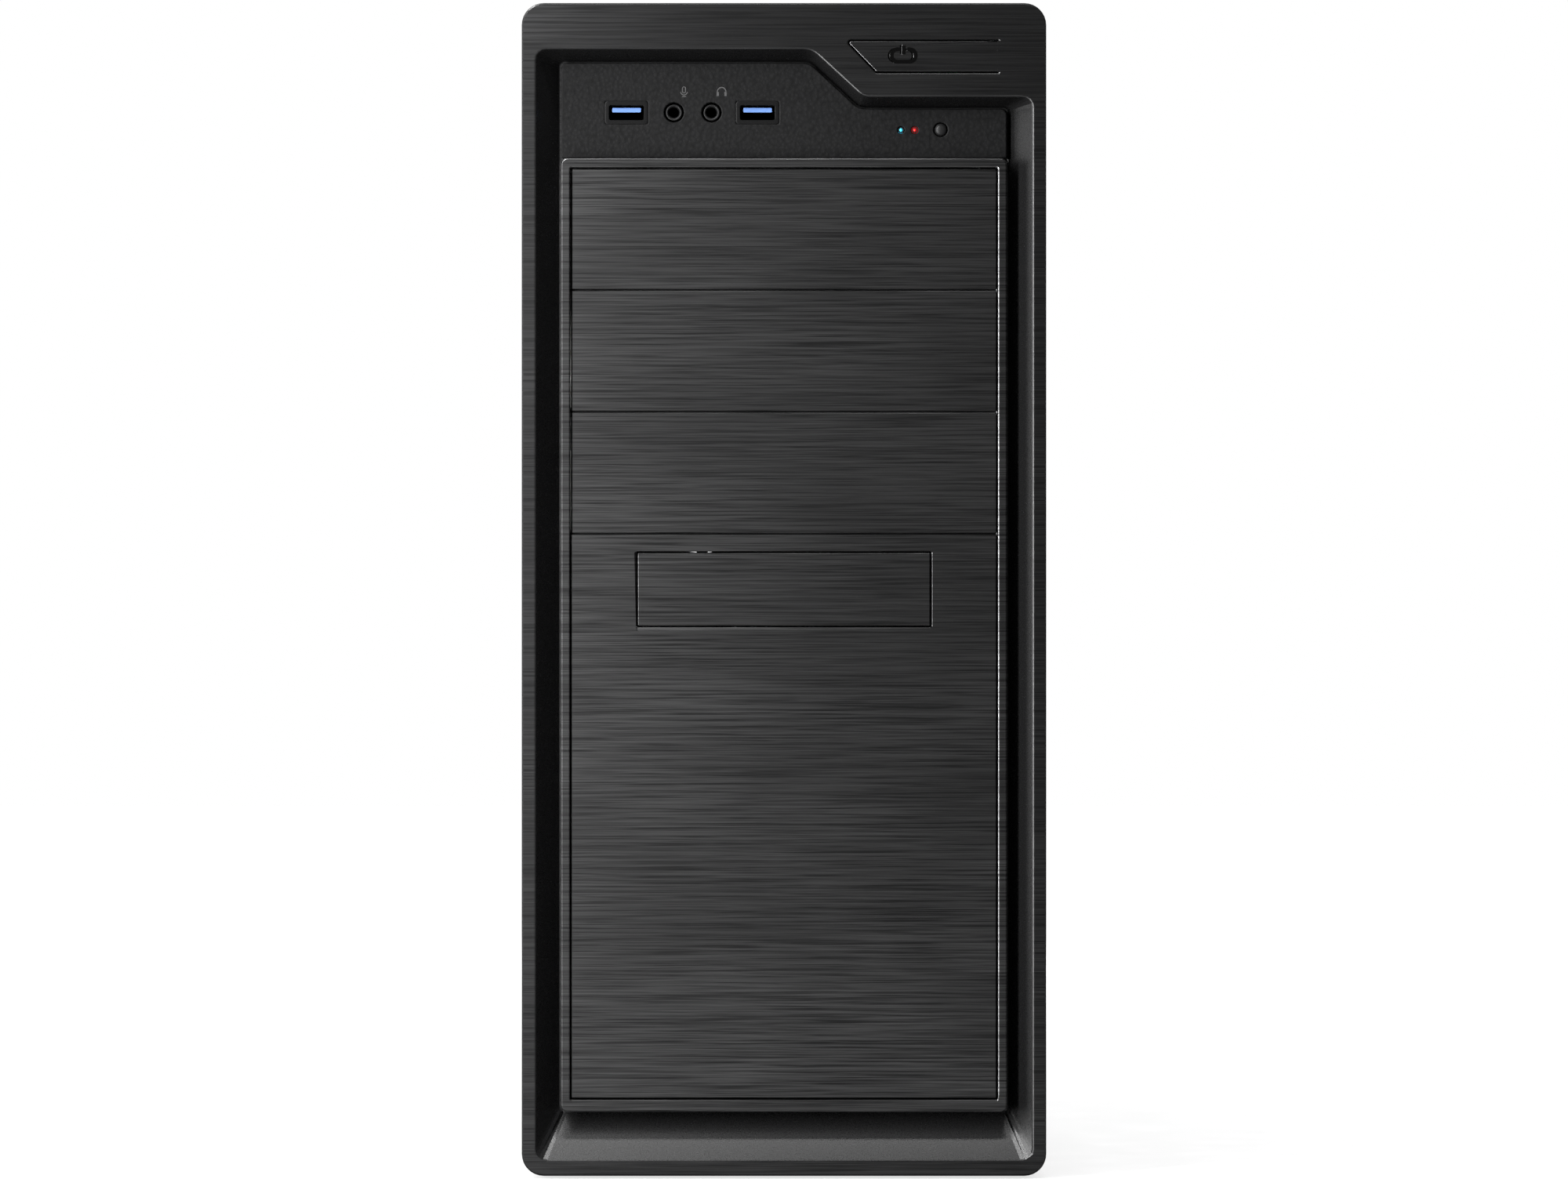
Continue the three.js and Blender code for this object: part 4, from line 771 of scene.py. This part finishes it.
# ---- Places on the back, in millimetres ----
REAR_FACE = node_box("rear_wall")[1].y
FAN_LOW, FAN_HIGH, FAN_X, FAN_Z = centred("rear_fan_frame")
FAN_SIZE = FAN_HIGH.x - FAN_LOW.x
FAN_SCREW = FAN_SIZE * (0.5 - 0.054)  # from the fan's axis to its screws, across and up
FAN_RIM = 4.0  # from a fan's outside to its blades
PSU_LOW, PSU_HIGH = node_box("psu_case")
PSU_WINDOW = (PSU_LOW.x + 5, PSU_HIGH.x - 5, PSU_LOW.z + 5, PSU_HIGH.z - 5)
SHIELD_LOW, SHIELD_HIGH = node_box("io_shield")
IO_WINDOW = (SHIELD_LOW.x + 1.5, SHIELD_HIGH.x - 1.5, SHIELD_LOW.z + 1.5, SHIELD_HIGH.z - 1.5)
REAR_PORTS = [
    f"rear_{port}" for port in ("keyboard_port", "display_port", "network_port", "usb_port", "audio_jacks")
]
THUMBSCREWS = [f"{side}_{level}_thumbscrew" for side in ("left", "right") for level in ("lower", "upper")]
SLOT_PITCH = 20.32  # of expansion cards
SLOT_HEIGHTS = [SHIELD_LOW.z - 11.0 - SLOT_PITCH * place for place in range(7)]
SLOT_ENDS = (-38.0, 62.0)
SLOT_HALF = 5.8
SLOT_CUT = 1.2  # the width of the cut above and below a slot's cover


# ---- Back: wall, slot covers and screws ----
def grille(x, z, radius):
    """Outlines of a stamped grille: rings of slots with four spokes left standing."""
    slot, bar, hub, half_spoke = 7.5, 3.0, 8.0, 2.2
    outlines = []
    while radius - slot > hub:
        inner = radius - slot
        wide = math.degrees(math.asin(half_spoke / radius))
        narrow = math.degrees(math.asin(half_spoke / inner))
        for start in (0, 90, 180, 270):
            outside = arc(x, z, radius, radius, start + wide, start + 90 - wide, 18)
            inside = arc(x, z, inner, inner, start + 90 - narrow, start + narrow, 14)
            outlines.append(outside + inside)
        radius = inner - bar
    return outlines


def rear_wall():
    """The sheet with its windows, slots, stamped grille and holes for the thumbscrews."""
    low, high = node_box("rear_wall")
    holes = []
    for middle in SLOT_HEIGHTS:
        for z in (middle - SLOT_HALF - SLOT_CUT, middle + SLOT_HALF):
            holes.append(rounded(*SLOT_ENDS, z, z + SLOT_CUT, 0.5))
    holes += grille(FAN_X, FAN_Z, FAN_SIZE / 2 - 3)
    holes += [hole(*centred(screw)[2:], 2.1, 24) for screw in THUMBSCREWS]
    holes += [rounded(*PSU_WINDOW, 2.0), rounded(*IO_WINDOW, 1.0)]
    sheet = plate(rounded(low.x, high.x, low.z, high.z, 0.8), holes, low.y, high.y, 0.2)
    piece("rear_wall_sheet", sheet, "chassis", "bare_steel", ["rear_wall"])


def slot_covers():
    """Knock-out covers over the expansion slots, each pressed outwards in its middle."""
    pressed = [(0.9, -0.05), (1.0, 0.12), (1.7, 0.55), (2.1, 0.65), (3.0, 0.65), (3.4, 0.5), (3.9, 0.3)]
    left, right = SLOT_ENDS
    for place, middle in enumerate(SLOT_HEIGHTS):
        rings = []
        for inset, out in pressed:
            half = SLOT_HALF - inset
            corner = max(2.2 - inset * 0.4, 0.5)
            outline = rounded(left + inset, right - inset, middle - half, middle + half, corner)
            rings.append(at(outline, REAR_FACE + out))
        shape = bmesh.new()
        skin(shape, rings)
        piece(f"slot_cover_{place + 1}", shape, "chassis", "bare_steel")


def pan_screw(shape, x, y, z, radius=3.0):
    """A domed screw head with a recess, standing on a face that looks back."""
    dome = [(0.92, -0.1), (1.0, 0.25), (1.0, 0.7), (0.88, 1.25), (0.6, 1.6), (0.4, 1.68)]
    recess = [(0.36, 1.2), (0.1, 0.9)]
    turned(shape, x, y, z, [(share * radius, out) for share, out in dome + recess], 28)


def rear_screws():
    """The screws that hold the power supply and the rear fan."""
    shape = bmesh.new()
    for x in (PSU_LOW.x + 2.9, PSU_HIGH.x - 2.9):
        for z in (PSU_LOW.z + 3.2, PSU_HIGH.z - 3.2):
            pan_screw(shape, x, REAR_FACE, z)
    for x in (FAN_X - FAN_SCREW, FAN_X + FAN_SCREW):
        for z in (FAN_Z - FAN_SCREW, FAN_Z + FAN_SCREW):
            pan_screw(shape, x, REAR_FACE, z, 3.2)
    piece("rear_screws", shape, "chassis", "bright_steel")


def thumbscrew(node):
    """A screw with a ribbed head to turn by hand, from its tip to the dish in its head."""
    low, high, x, z = centred(node)
    ribs = 30

    def ribbed(y, radius, depth=0.0):
        turns = [2 * math.pi * i / (4 * ribs) for i in range(4 * ribs)]
        radii = [radius + depth * math.cos(ribs * a) for a in turns]
        return [(x + r * math.cos(a), y, z + r * math.sin(a)) for a, r in zip(turns, radii)]

    tip = [(0, 1.5), (0.6, 1.7)]
    shank = [(11.4, 1.7), (11.4, 4.2), (9.9, 4.2)]
    head = [(9.9, 4.9), (9.4, 5.25, 0.05), (9.1, 5.3, 0.2), (1.4, 5.3, 0.2), (0.9, 5.2, 0.05), (0.5, 4.8)]
    dish = [(0.5, 4.3), (0.1, 4.1), (0, 3.8), (0, 3.1), (0.5, 2.8), (0.5, 1.2), (0.9, 0.3)]
    rings = [ribbed(low.y + away, radius) for away, radius in tip]
    rings += [ribbed(high.y - away, *size) for away, *size in shank + head + dish]
    shape = bmesh.new()
    skin(shape, rings)
    piece(node + "_knurled", shape, node, "matt_black", [node])


# ---- Back: sockets ----
def io_plate():
    """The socket shield: a sheet with an opening and a pressed rib round each socket."""
    low, high = node_box("io_shield")
    holes = []
    ribs = bmesh.new()
    for near, far in (node_box(port) for port in REAR_PORTS):
        holes.append(rounded(near.x - 0.5, far.x + 0.2, near.z - 0.5, far.z + 0.5, 1.0))
        rib = rounded(near.x - 2.2, far.x - 0.6, near.z - 2.2, far.z + 2.2, 1.6)
        tube(ribs, at(rib, high.y), 0.55, True, 8)
    sheet = plate(rounded(low.x, high.x, low.z, high.z, 1.0), holes, low.y, high.y, 0.15)
    piece("io_shield_sheet", sheet, "chassis", "io_steel", ["io_shield"])
    piece("io_shield_ribs", ribs, "chassis", "io_steel")


def port_shell(node, holes, look="bright_steel"):
    """A socket's metal box with openings to the back, dark inside."""
    low, high = node_box(node)
    shell = plate(rounded(low.x, high.x, low.z, high.z, 0.8), holes, low.y, high.y, 0.2)
    piece(node + "_shell", shell, "chassis", look, [node])
    inside = bmesh.new()
    block(inside, low.x + 0.4, high.x - 0.4, low.y + 0.3, low.y + 1.6, low.z + 0.4, high.z - 0.4, 0.2)
    piece(node + "_inside", inside, "chassis", "matt_black")


def keyboard_port():
    """A round socket for six pins round a key."""
    node = "rear_keyboard_port"
    _, high, x, z = centred(node)
    port_shell(node, [hole(x, z, 5.4, 45)])
    pins = [hole(pin_x, pin_z, 0.55, 12) for pin_x, pin_z in arc(x, z, 3.1, 3.1, 30, 330, 5)]
    key = rounded(x - 1.0, x + 1.0, z - 0.6, z + 0.6, 0.2)
    insert = plate(hole(x, z, 5.35, 45), pins + [key], high.y - 5.5, high.y - 2.0, 0.1)
    piece(node + "_insert", insert, "chassis", "purple_plastic")


def display_port():
    """A D-shaped socket for fifteen pins in three rows, between two screw posts."""
    node = "rear_display_port"
    _, high, x, z = centred(node)
    left, right, short, long = x - 3.4, x + 4.2, 8.6, 9.4
    mouth = [(left, z - short), (right, z - long), (right, z + long), (left, z + short)]
    port_shell(node, [mouth])
    rows = (x - 2.2, x, x + 2.2)
    pins = [hole(row, z + place * 2.9, 0.5, 12) for row in rows for place in range(-2, 3)]
    insert = plate(mouth, pins, high.y - 5.0, high.y - 0.8, 0.1)
    piece(node + "_insert", insert, "chassis", "blue_plastic")
    post = [(2.5, -0.5), (2.7, -0.2), (2.7, 3.2), (2.4, 3.6), (1.5, 3.6), (1.3, 2.6), (0.1, 2.4)]
    posts = bmesh.new()
    for post_z in (z - 12.6, z + 12.6):
        turned(posts, x, high.y, post_z, post, 6)
    piece(node + "_posts", posts, "chassis", "bright_steel")


def network_port():
    """A stepped mouth with eight contacts and a lamp above and below."""
    node = "rear_network_port"
    _, high, _, z = centred(node)
    wide, middle, narrow = high.x - 14.1, high.x - 5.7, high.x - 3.1
    below = [(wide, z - 6), (middle, z - 6), (middle, z - 3), (narrow, z - 3)]
    above = [(narrow, z + 3), (middle, z + 3), (middle, z + 6), (wide, z + 6)]
    port_shell(node, [below + above])
    contacts = bmesh.new()
    for place in range(8):
        low_z = z + (place - 3.5) * 1.02 - 0.22
        block(contacts, wide - 0.2, wide + 0.5, high.y - 8, high.y - 1.6, low_z, low_z + 0.44, 0.08)
    piece(node + "_contacts", contacts, "chassis", "gold")
    for name, look, low_z in (("link", "green_plastic", z + 6.35), ("busy", "amber_plastic", z - 7.45)):
        lens = bmesh.new()
        block(lens, narrow - 2.3, narrow + 0.4, high.y - 1, high.y + 0.12, low_z, low_z + 1.1, 0.12)
        piece(f"{node}_{name}_lamp", lens, "chassis", look)


def usb_stack():
    """Four upright sockets, each with a tongue and its contacts."""
    node = "rear_usb_port"
    _, high, x, z = centred(node)
    places = [(x + column * 3.9, z + row * 7.2) for row in (-1, 1) for column in (-1, 1)]
    port_shell(node, [rounded(px - 2.6, px + 2.6, pz - 6.2, pz + 6.2, 0.5) for px, pz in places])
    tongues = bmesh.new()
    contacts = bmesh.new()
    for px, pz in places:
        block(tongues, px + 0.3, px + 2.0, high.y - 15, high.y - 1.2, pz - 5.2, pz + 5.2, 0.2)
        for low_z in (pz + shift - 0.5 for shift in USB_CONTACTS):
            block(contacts, px + 0.15, px + 0.4, high.y - 13, high.y - 2, low_z, low_z + 1, 0.05)
    piece(node + "_tongues", tongues, "chassis", "blue_plastic")
    piece(node + "_contacts", contacts, "chassis", "gold")


def audio_stack():
    """Three jacks with coloured collars."""
    node = "rear_audio_jacks"
    _, high, x, z = centred(node)
    pitch = 12.5
    port_shell(node, [hole(x, z + pitch * place, 3.1, 36) for place in (-1, 0, 1)], "matt_black")
    collar = [(3.0, -11), (3.0, 0.1), (3.9, 0.1), (4.0, 0.4), (3.8, 0.8), (2.6, 0.9), (2.0, 0.5)]
    bore = [(1.8, -0.3), (JACK_BORE, -10.5)]
    jacks = [("in", "light_blue_plastic", 1), ("out", "green_plastic", 0), ("mic", "pink_plastic", -1)]
    for name, look, place in jacks:
        ring = bmesh.new()
        turned(ring, x, high.y, z + pitch * place, collar + bore)
        piece(f"{node}_{name}_ring", ring, "chassis", look)


# ---- Back: power supply ----
def wire_guard():
    """Five wire rings on two crossed bars, held by a screw in the eye at each bar's end."""
    _, high, x, z = centred("psu_fan_guard")
    radius = 37.0
    wire = 0.75
    y = high.y + 0.1
    bar_y = y - 1.3
    shape = bmesh.new()
    for share in (1.0, 0.8, 0.6, 0.4, 0.2):
        tube(shape, at(hole(x, z, radius * share, 60), y), wire, True)
    for turn in (45, 135):
        bar = Vector((math.cos(math.radians(turn)), 0, math.sin(math.radians(turn)))) * (radius + 3.4)
        middle = Vector((x, bar_y, z))
        ends = [middle - bar, middle + bar]
        tube(shape, [ends[0], middle, ends[1]], wire)
        for end in ends:
            tube(shape, at(hole(end.x, end.z, 2.6, 18), y - 1.2), wire, True)
            pan_screw(shape, end.x, bar_y, end.z, 2.3)
    piece("psu_fan_guard_wires", shape, "chassis", "bright_steel", ["psu_fan_guard"])


def mains_inlet():
    """A flanged body with a deep mouth, and three blades in it."""
    low, high, x, z = centred("psu_inlet")
    face = high.y
    half_x, half_z = (high.x - low.x) / 2, (high.z - low.z) / 2
    mouth_x, mouth_z = 12.0, 8.0

    def ring(width, height, corner, y):
        return at(rounded(x - width, x + width, z - height, z + height, corner), y)

    body = bmesh.new()
    skin(body, [
        ring(half_x, half_z, 1, low.y),
        ring(half_x, half_z, 1, face - 0.4),
        ring(half_x + 1.4, half_z + 1.4, 1.6, face - 0.4),
        ring(half_x + 1.5, half_z + 1.5, 1.6, face + 0.3),
        ring(half_x + 1.1, half_z + 1.1, 1.6, face + 0.9),
        ring(mouth_x + 0.4, mouth_z + 0.4, 2.6, face + 0.9),
        ring(mouth_x, mouth_z, 2.4, face + 0.4),
        ring(mouth_x, mouth_z, 2.4, face - 15),
    ])
    piece("psu_inlet_body", body, "chassis", "matt_black", ["psu_inlet"])
    blades = bmesh.new()
    for blade_x, blade_z in ((x - 7, z + 0.5), (x, z + 4.5), (x + 7, z + 0.5)):
        block(blades, blade_x - 1, blade_x + 1, face - 15, face - 3, blade_z - 2, blade_z + 2, 0.4)
    piece("psu_inlet_blades", blades, "chassis", "bright_steel")


def rocker_cap(half, tipped):
    """A cap hollowed across its face, drawn round its pivot and set in place by tipped."""
    reach, dip, face = 5.9, 1.3, 3.2
    curve = [(face + dip * (t / 8) ** 2, reach * t / 8) for t in range(-8, 9)]
    section = [(-4.0, -3.0), (3.9, -reach), *curve, (3.9, reach), (-4.0, 3.0)]
    ends = [(half, 0.93), (half - 0.25, 0.98), (half - 0.7, 1.0)]  # from the pivot, and the section's scale
    places = [(-x, scale) for x, scale in ends] + ends[::-1]
    cap = bmesh.new()
    skin(cap, [[(x, y * scale, z * scale) for y, z in section] for x, scale in places], turn=tipped)
    piece("psu_rocker_cap", cap, "psu_rocker", "matt_black", ["psu_rocker"])

    marks = bmesh.new()
    away = 3.2  # from the pivot, along the face
    lean = math.atan(2 * dip * away / reach**2)
    height = face + dip * (away / reach) ** 2 + 0.04
    for sign, points in ((1, [(-0.01, -1.4), (0.01, 1.4)]), (-1, arc(0, 0, 1.3, 1.3, 90, 450, 24))):
        on_face = Matrix.Translation((0, height, away * sign)) @ Matrix.Rotation(-lean * sign, 4, "X")
        ribbon(marks, points, 0.6, -0.2, 0.0, tipped @ on_face)
    piece("psu_rocker_marks", marks, "psu_rocker", "pale_mark")


def rocker_switch():
    """A rocker tipped to one side in its frame, with a bar on one half and a ring on the other."""
    low, high, x, _ = centred("psu_rocker")
    z = PSU_HIGH.z - 24.2
    y = PSU_HIGH.y
    tipped = Matrix.Translation((x, y - 3.0, z)) @ Matrix.Rotation(math.radians(8), 4, "X")
    rocker_cap((high.x - low.x) / 2, tipped)

    def ring(width, height, corner, out):
        return at(rounded(x - width, x + width, z - height, z + height, corner), y + out)

    rim = bmesh.new()
    skin(rim, [
        ring(9.9, 6.9, 1.0, -6),
        ring(9.9, 6.9, 1.0, 0),
        ring(11, 8, 1.4, 0),
        ring(11, 8, 1.4, 0.7),
        ring(9.3, 6.3, 0.5, 1.0),
        ring(9.3, 6.3, 0.5, -6),
    ], caps=False)
    piece("psu_rocker_frame", rim, "chassis", "matt_black")


# ---- Fans and feet ----
def fan_blade(start, hub, tip, front, back):
    """The rings of one blade from its root, sunk in the hub, to its tip: it untwists and sweeps round."""
    depth = back - front
    spans = 8
    steps = 8
    root = hub - 0.6
    rings = []
    for span in range(spans + 1):
        share = span / spans
        radius = root + (tip - root) * share
        pitch = math.radians(52 - 24 * share)
        chord = 0.8 * depth / math.sin(pitch)
        sweep = 0.22 * share**1.5
        ring = []
        for side, order in ((1, range(steps + 1)), (-1, range(steps, -1, -1))):
            for t in (step / steps for step in order):
                bulge = math.sin(math.pi * t)
                thick = 0.25 + 0.75 * bulge
                hollow = 0.10 * chord * bulge
                along = (t - 0.5) * chord * math.cos(pitch)
                y = (front + back) / 2 + (t - 0.5) * chord * math.sin(pitch) - hollow + side * thick / 2
                angle = start + sweep + along / radius
                inside = min(max(y, front + 0.2), back - 0.2)
                ring.append((radius * math.cos(angle), inside, radius * math.sin(angle)))
        rings.append(ring)
    return rings


def fan_rotor(node, tip, front, back, turn):
    """A moulded hub with seven twisted blades, drawn round Y and set in place by turn."""
    hub = 0.43 * tip
    blades = 7
    shape = bmesh.new()
    turned(shape, 0, 0, 0, [
        (hub * 0.62, front + 0.25), (hub * 0.66, front), (hub - 1.0, front), (hub - 0.2, front + 0.5),
        (hub, front + 1.4), (hub, back - 0.4), (hub - 0.4, back), (0.3, back),
    ], 48, turn=turn)
    for blade in range(blades):
        skin(shape, fan_blade(2 * math.pi * blade / blades, hub, tip, front, back), turn=turn)
    piece(node + "_blades", shape, node, "matt_black", [node])


def fans():
    """The power supply's, the rear and the processor's fan. The last one's axis lies along X."""
    low, high = node_box("psu_fan_rotor")
    _, _, x, z = centred("psu_fan_guard")
    fan_rotor("psu_fan_rotor", 35.0, low.y, high.y, Matrix.Translation((x, 0, z)))
    low, high = node_box("rear_fan_rotor")
    place = Matrix.Translation((FAN_X, 0, FAN_Z))
    fan_rotor("rear_fan_rotor", FAN_SIZE / 2 - FAN_RIM, low.y, high.y, place)
    low, high = node_box("cpu_fan_rotor")
    frame_low, frame_high, _, z = centred("cpu_fan_frame")
    place = Matrix.Translation((0, (frame_low.y + frame_high.y) / 2, z))
    sideways = place @ Matrix.Rotation(math.radians(-90), 4, "Z")
    fan_rotor("cpu_fan_rotor", (frame_high.z - frame_low.z) / 2 - FAN_RIM, low.x, high.x, sideways)


def foot(node):
    """A round rubber foot, hollow underneath round its screw."""
    low, high = node_box(node)
    middle = Matrix.Translation(((low.x + high.x) / 2, (low.y + high.y) / 2, 0))
    upright = middle @ Matrix.Rotation(math.radians(90), 4, "X")
    top = high.z
    hollow = [(0.2, 3.4), (3.6, 3.4), (4.2, 3.0), (4.6, 0.4), (5.0, 0.0)]
    tread = [(9.8, 0.0), (10.8, 0.35), (11.3, 1.1)]
    sides = [(12.7, top - 1.2), (13.0, top - 0.8), (13.0, top), (0.2, top)]
    shape = bmesh.new()
    turned(shape, 0, 0, 0, hollow + tread + sides, 56, turn=upright)
    piece(node + "_rubber", shape, "chassis", "soft_black", [node])
    head = [(0.2, 3.0), (0.5, 2.6), (1.2, 2.5), (1.3, 2.0), (2.4, 2.2), (3.0, 2.9), (3.0, 3.5), (0.2, 3.5)]
    screw = bmesh.new()
    turned(screw, 0, 0, 0, head, 28, turn=upright)
    piece(node + "_screw", screw, "chassis", "bright_steel")


rear_wall()
slot_covers()
rear_screws()
for screw_node in THUMBSCREWS:
    thumbscrew(screw_node)
io_plate()
keyboard_port()
display_port()
network_port()
usb_stack()
audio_stack()
wire_guard()
mains_inlet()
rocker_switch()
fans()
for place in ("front_left", "front_right", "rear_left", "rear_right"):
    foot("foot_" + place)


# ---- Stage: floor, light and camera ----
FRAME_WIDTH = 0.544  # of the view at the front of the case
LENS = 200.0
SENSOR = 36.0


def floor():
    """A pale floor that is white to the camera, with a soft shadow near the object."""
    mesh = bpy.data.meshes.new("floor")
    shape = bmesh.new()
    bmesh.ops.create_grid(shape, x_segments=8, y_segments=8, size=5.0)
    shape.to_mesh(mesh)
    shape.free()
    made = bpy.data.objects.new("floor", mesh)
    bpy.context.scene.collection.objects.link(made)

    def pale(graph):
        grain = graph.noise(40, 3.0)
        away = graph.node("ShaderNodeVectorMath", {0: graph.place(1)}, operation="LENGTH")
        whiteness = graph.remap(away.outputs["Value"], 0.3, 1.5, 0.70, 1.0)
        seen = graph.node("ShaderNodeLightPath").outputs["Is Camera Ray"]
        tone = graph.mix(grain, (0.25, 0.25, 0.25), (0.27, 0.27, 0.27))
        glow = graph.math("MULTIPLY", whiteness, seen)
        inputs = surface(tone, graph.spread(grain, 0.75, 0.9), shine=0.1)
        return inputs | {"Emission Color": (1.0, 1.0, 1.0, 1.0), "Emission Strength": glow}

    mesh.materials.append(material("pale_floor", pale))


def softbox(name, place, aim, width, height, power):
    """A lamp the size of a studio softbox, which the camera doesn't see."""
    light = bpy.data.lights.new(name, "AREA")
    light.shape = "RECTANGLE"
    light.size = width
    light.size_y = height
    light.energy = power
    made = bpy.data.objects.new(name, light)
    made.location = place
    made.rotation_euler = (Vector(aim) - Vector(place)).to_track_quat("-Z", "Y").to_euler()
    made.visible_camera = False
    bpy.context.scene.collection.objects.link(made)


def world():
    """White behind the object, and a dimmer even fill on it."""
    made = bpy.data.worlds.new("studio")
    made.use_nodes = True
    graph = Graph(made.node_tree)
    seen = graph.node("ShaderNodeBackground", {"Color": (1, 1, 1, 1), "Strength": 1.0})
    fill = graph.node("ShaderNodeBackground", {"Color": (1, 1, 1, 1), "Strength": 0.03})
    direct = graph.node("ShaderNodeLightPath").outputs["Is Camera Ray"]
    mixed = graph.node("ShaderNodeMixShader", {0: direct, 1: fill.outputs[0], 2: seen.outputs[0]})
    graph.node("ShaderNodeOutputWorld", {"Surface": mixed.outputs[0]})
    bpy.context.scene.world = made


def camera():
    """Head on, as in the photo, level with the middle of the front."""
    lens = bpy.data.cameras.new("camera")
    lens.lens = LENS
    lens.sensor_width = SENSOR
    made = bpy.data.objects.new("camera", lens)
    distance = FRAME_WIDTH * LENS / SENSOR
    made.location = (0.0, BEZEL_LOW.y - distance, BEZEL_LOW.z / 2 + BEZEL_HIGH.z / 2)
    made.rotation_euler = (math.radians(90), 0.0, 0.0)
    bpy.context.scene.collection.objects.link(made)
    bpy.context.scene.camera = made


floor()
world()
camera()
softbox("key", (-0.38, -0.76, 0.22), (-0.05, -0.2, 0.2), 0.12, 1.6, 32)
softbox("top", (0.0, -0.74, 1.52), (0.0, -0.195, 0.015), 0.7, 0.14, 11.0)
softbox("left", (-1.25, -0.40, 0.35), (0.0, -0.2, 0.2), 0.4, 0.9, 26)
softbox("right", (1.3, 0.3, 0.7), (0.0, 0.1, 0.2), 0.9, 1.2, 12)
softbox("back", (0.4, 1.6, 0.7), (0.0, 0.1, 0.2), 1.2, 0.9, 20)
bpy.context.scene.view_settings.view_transform = "Standard"
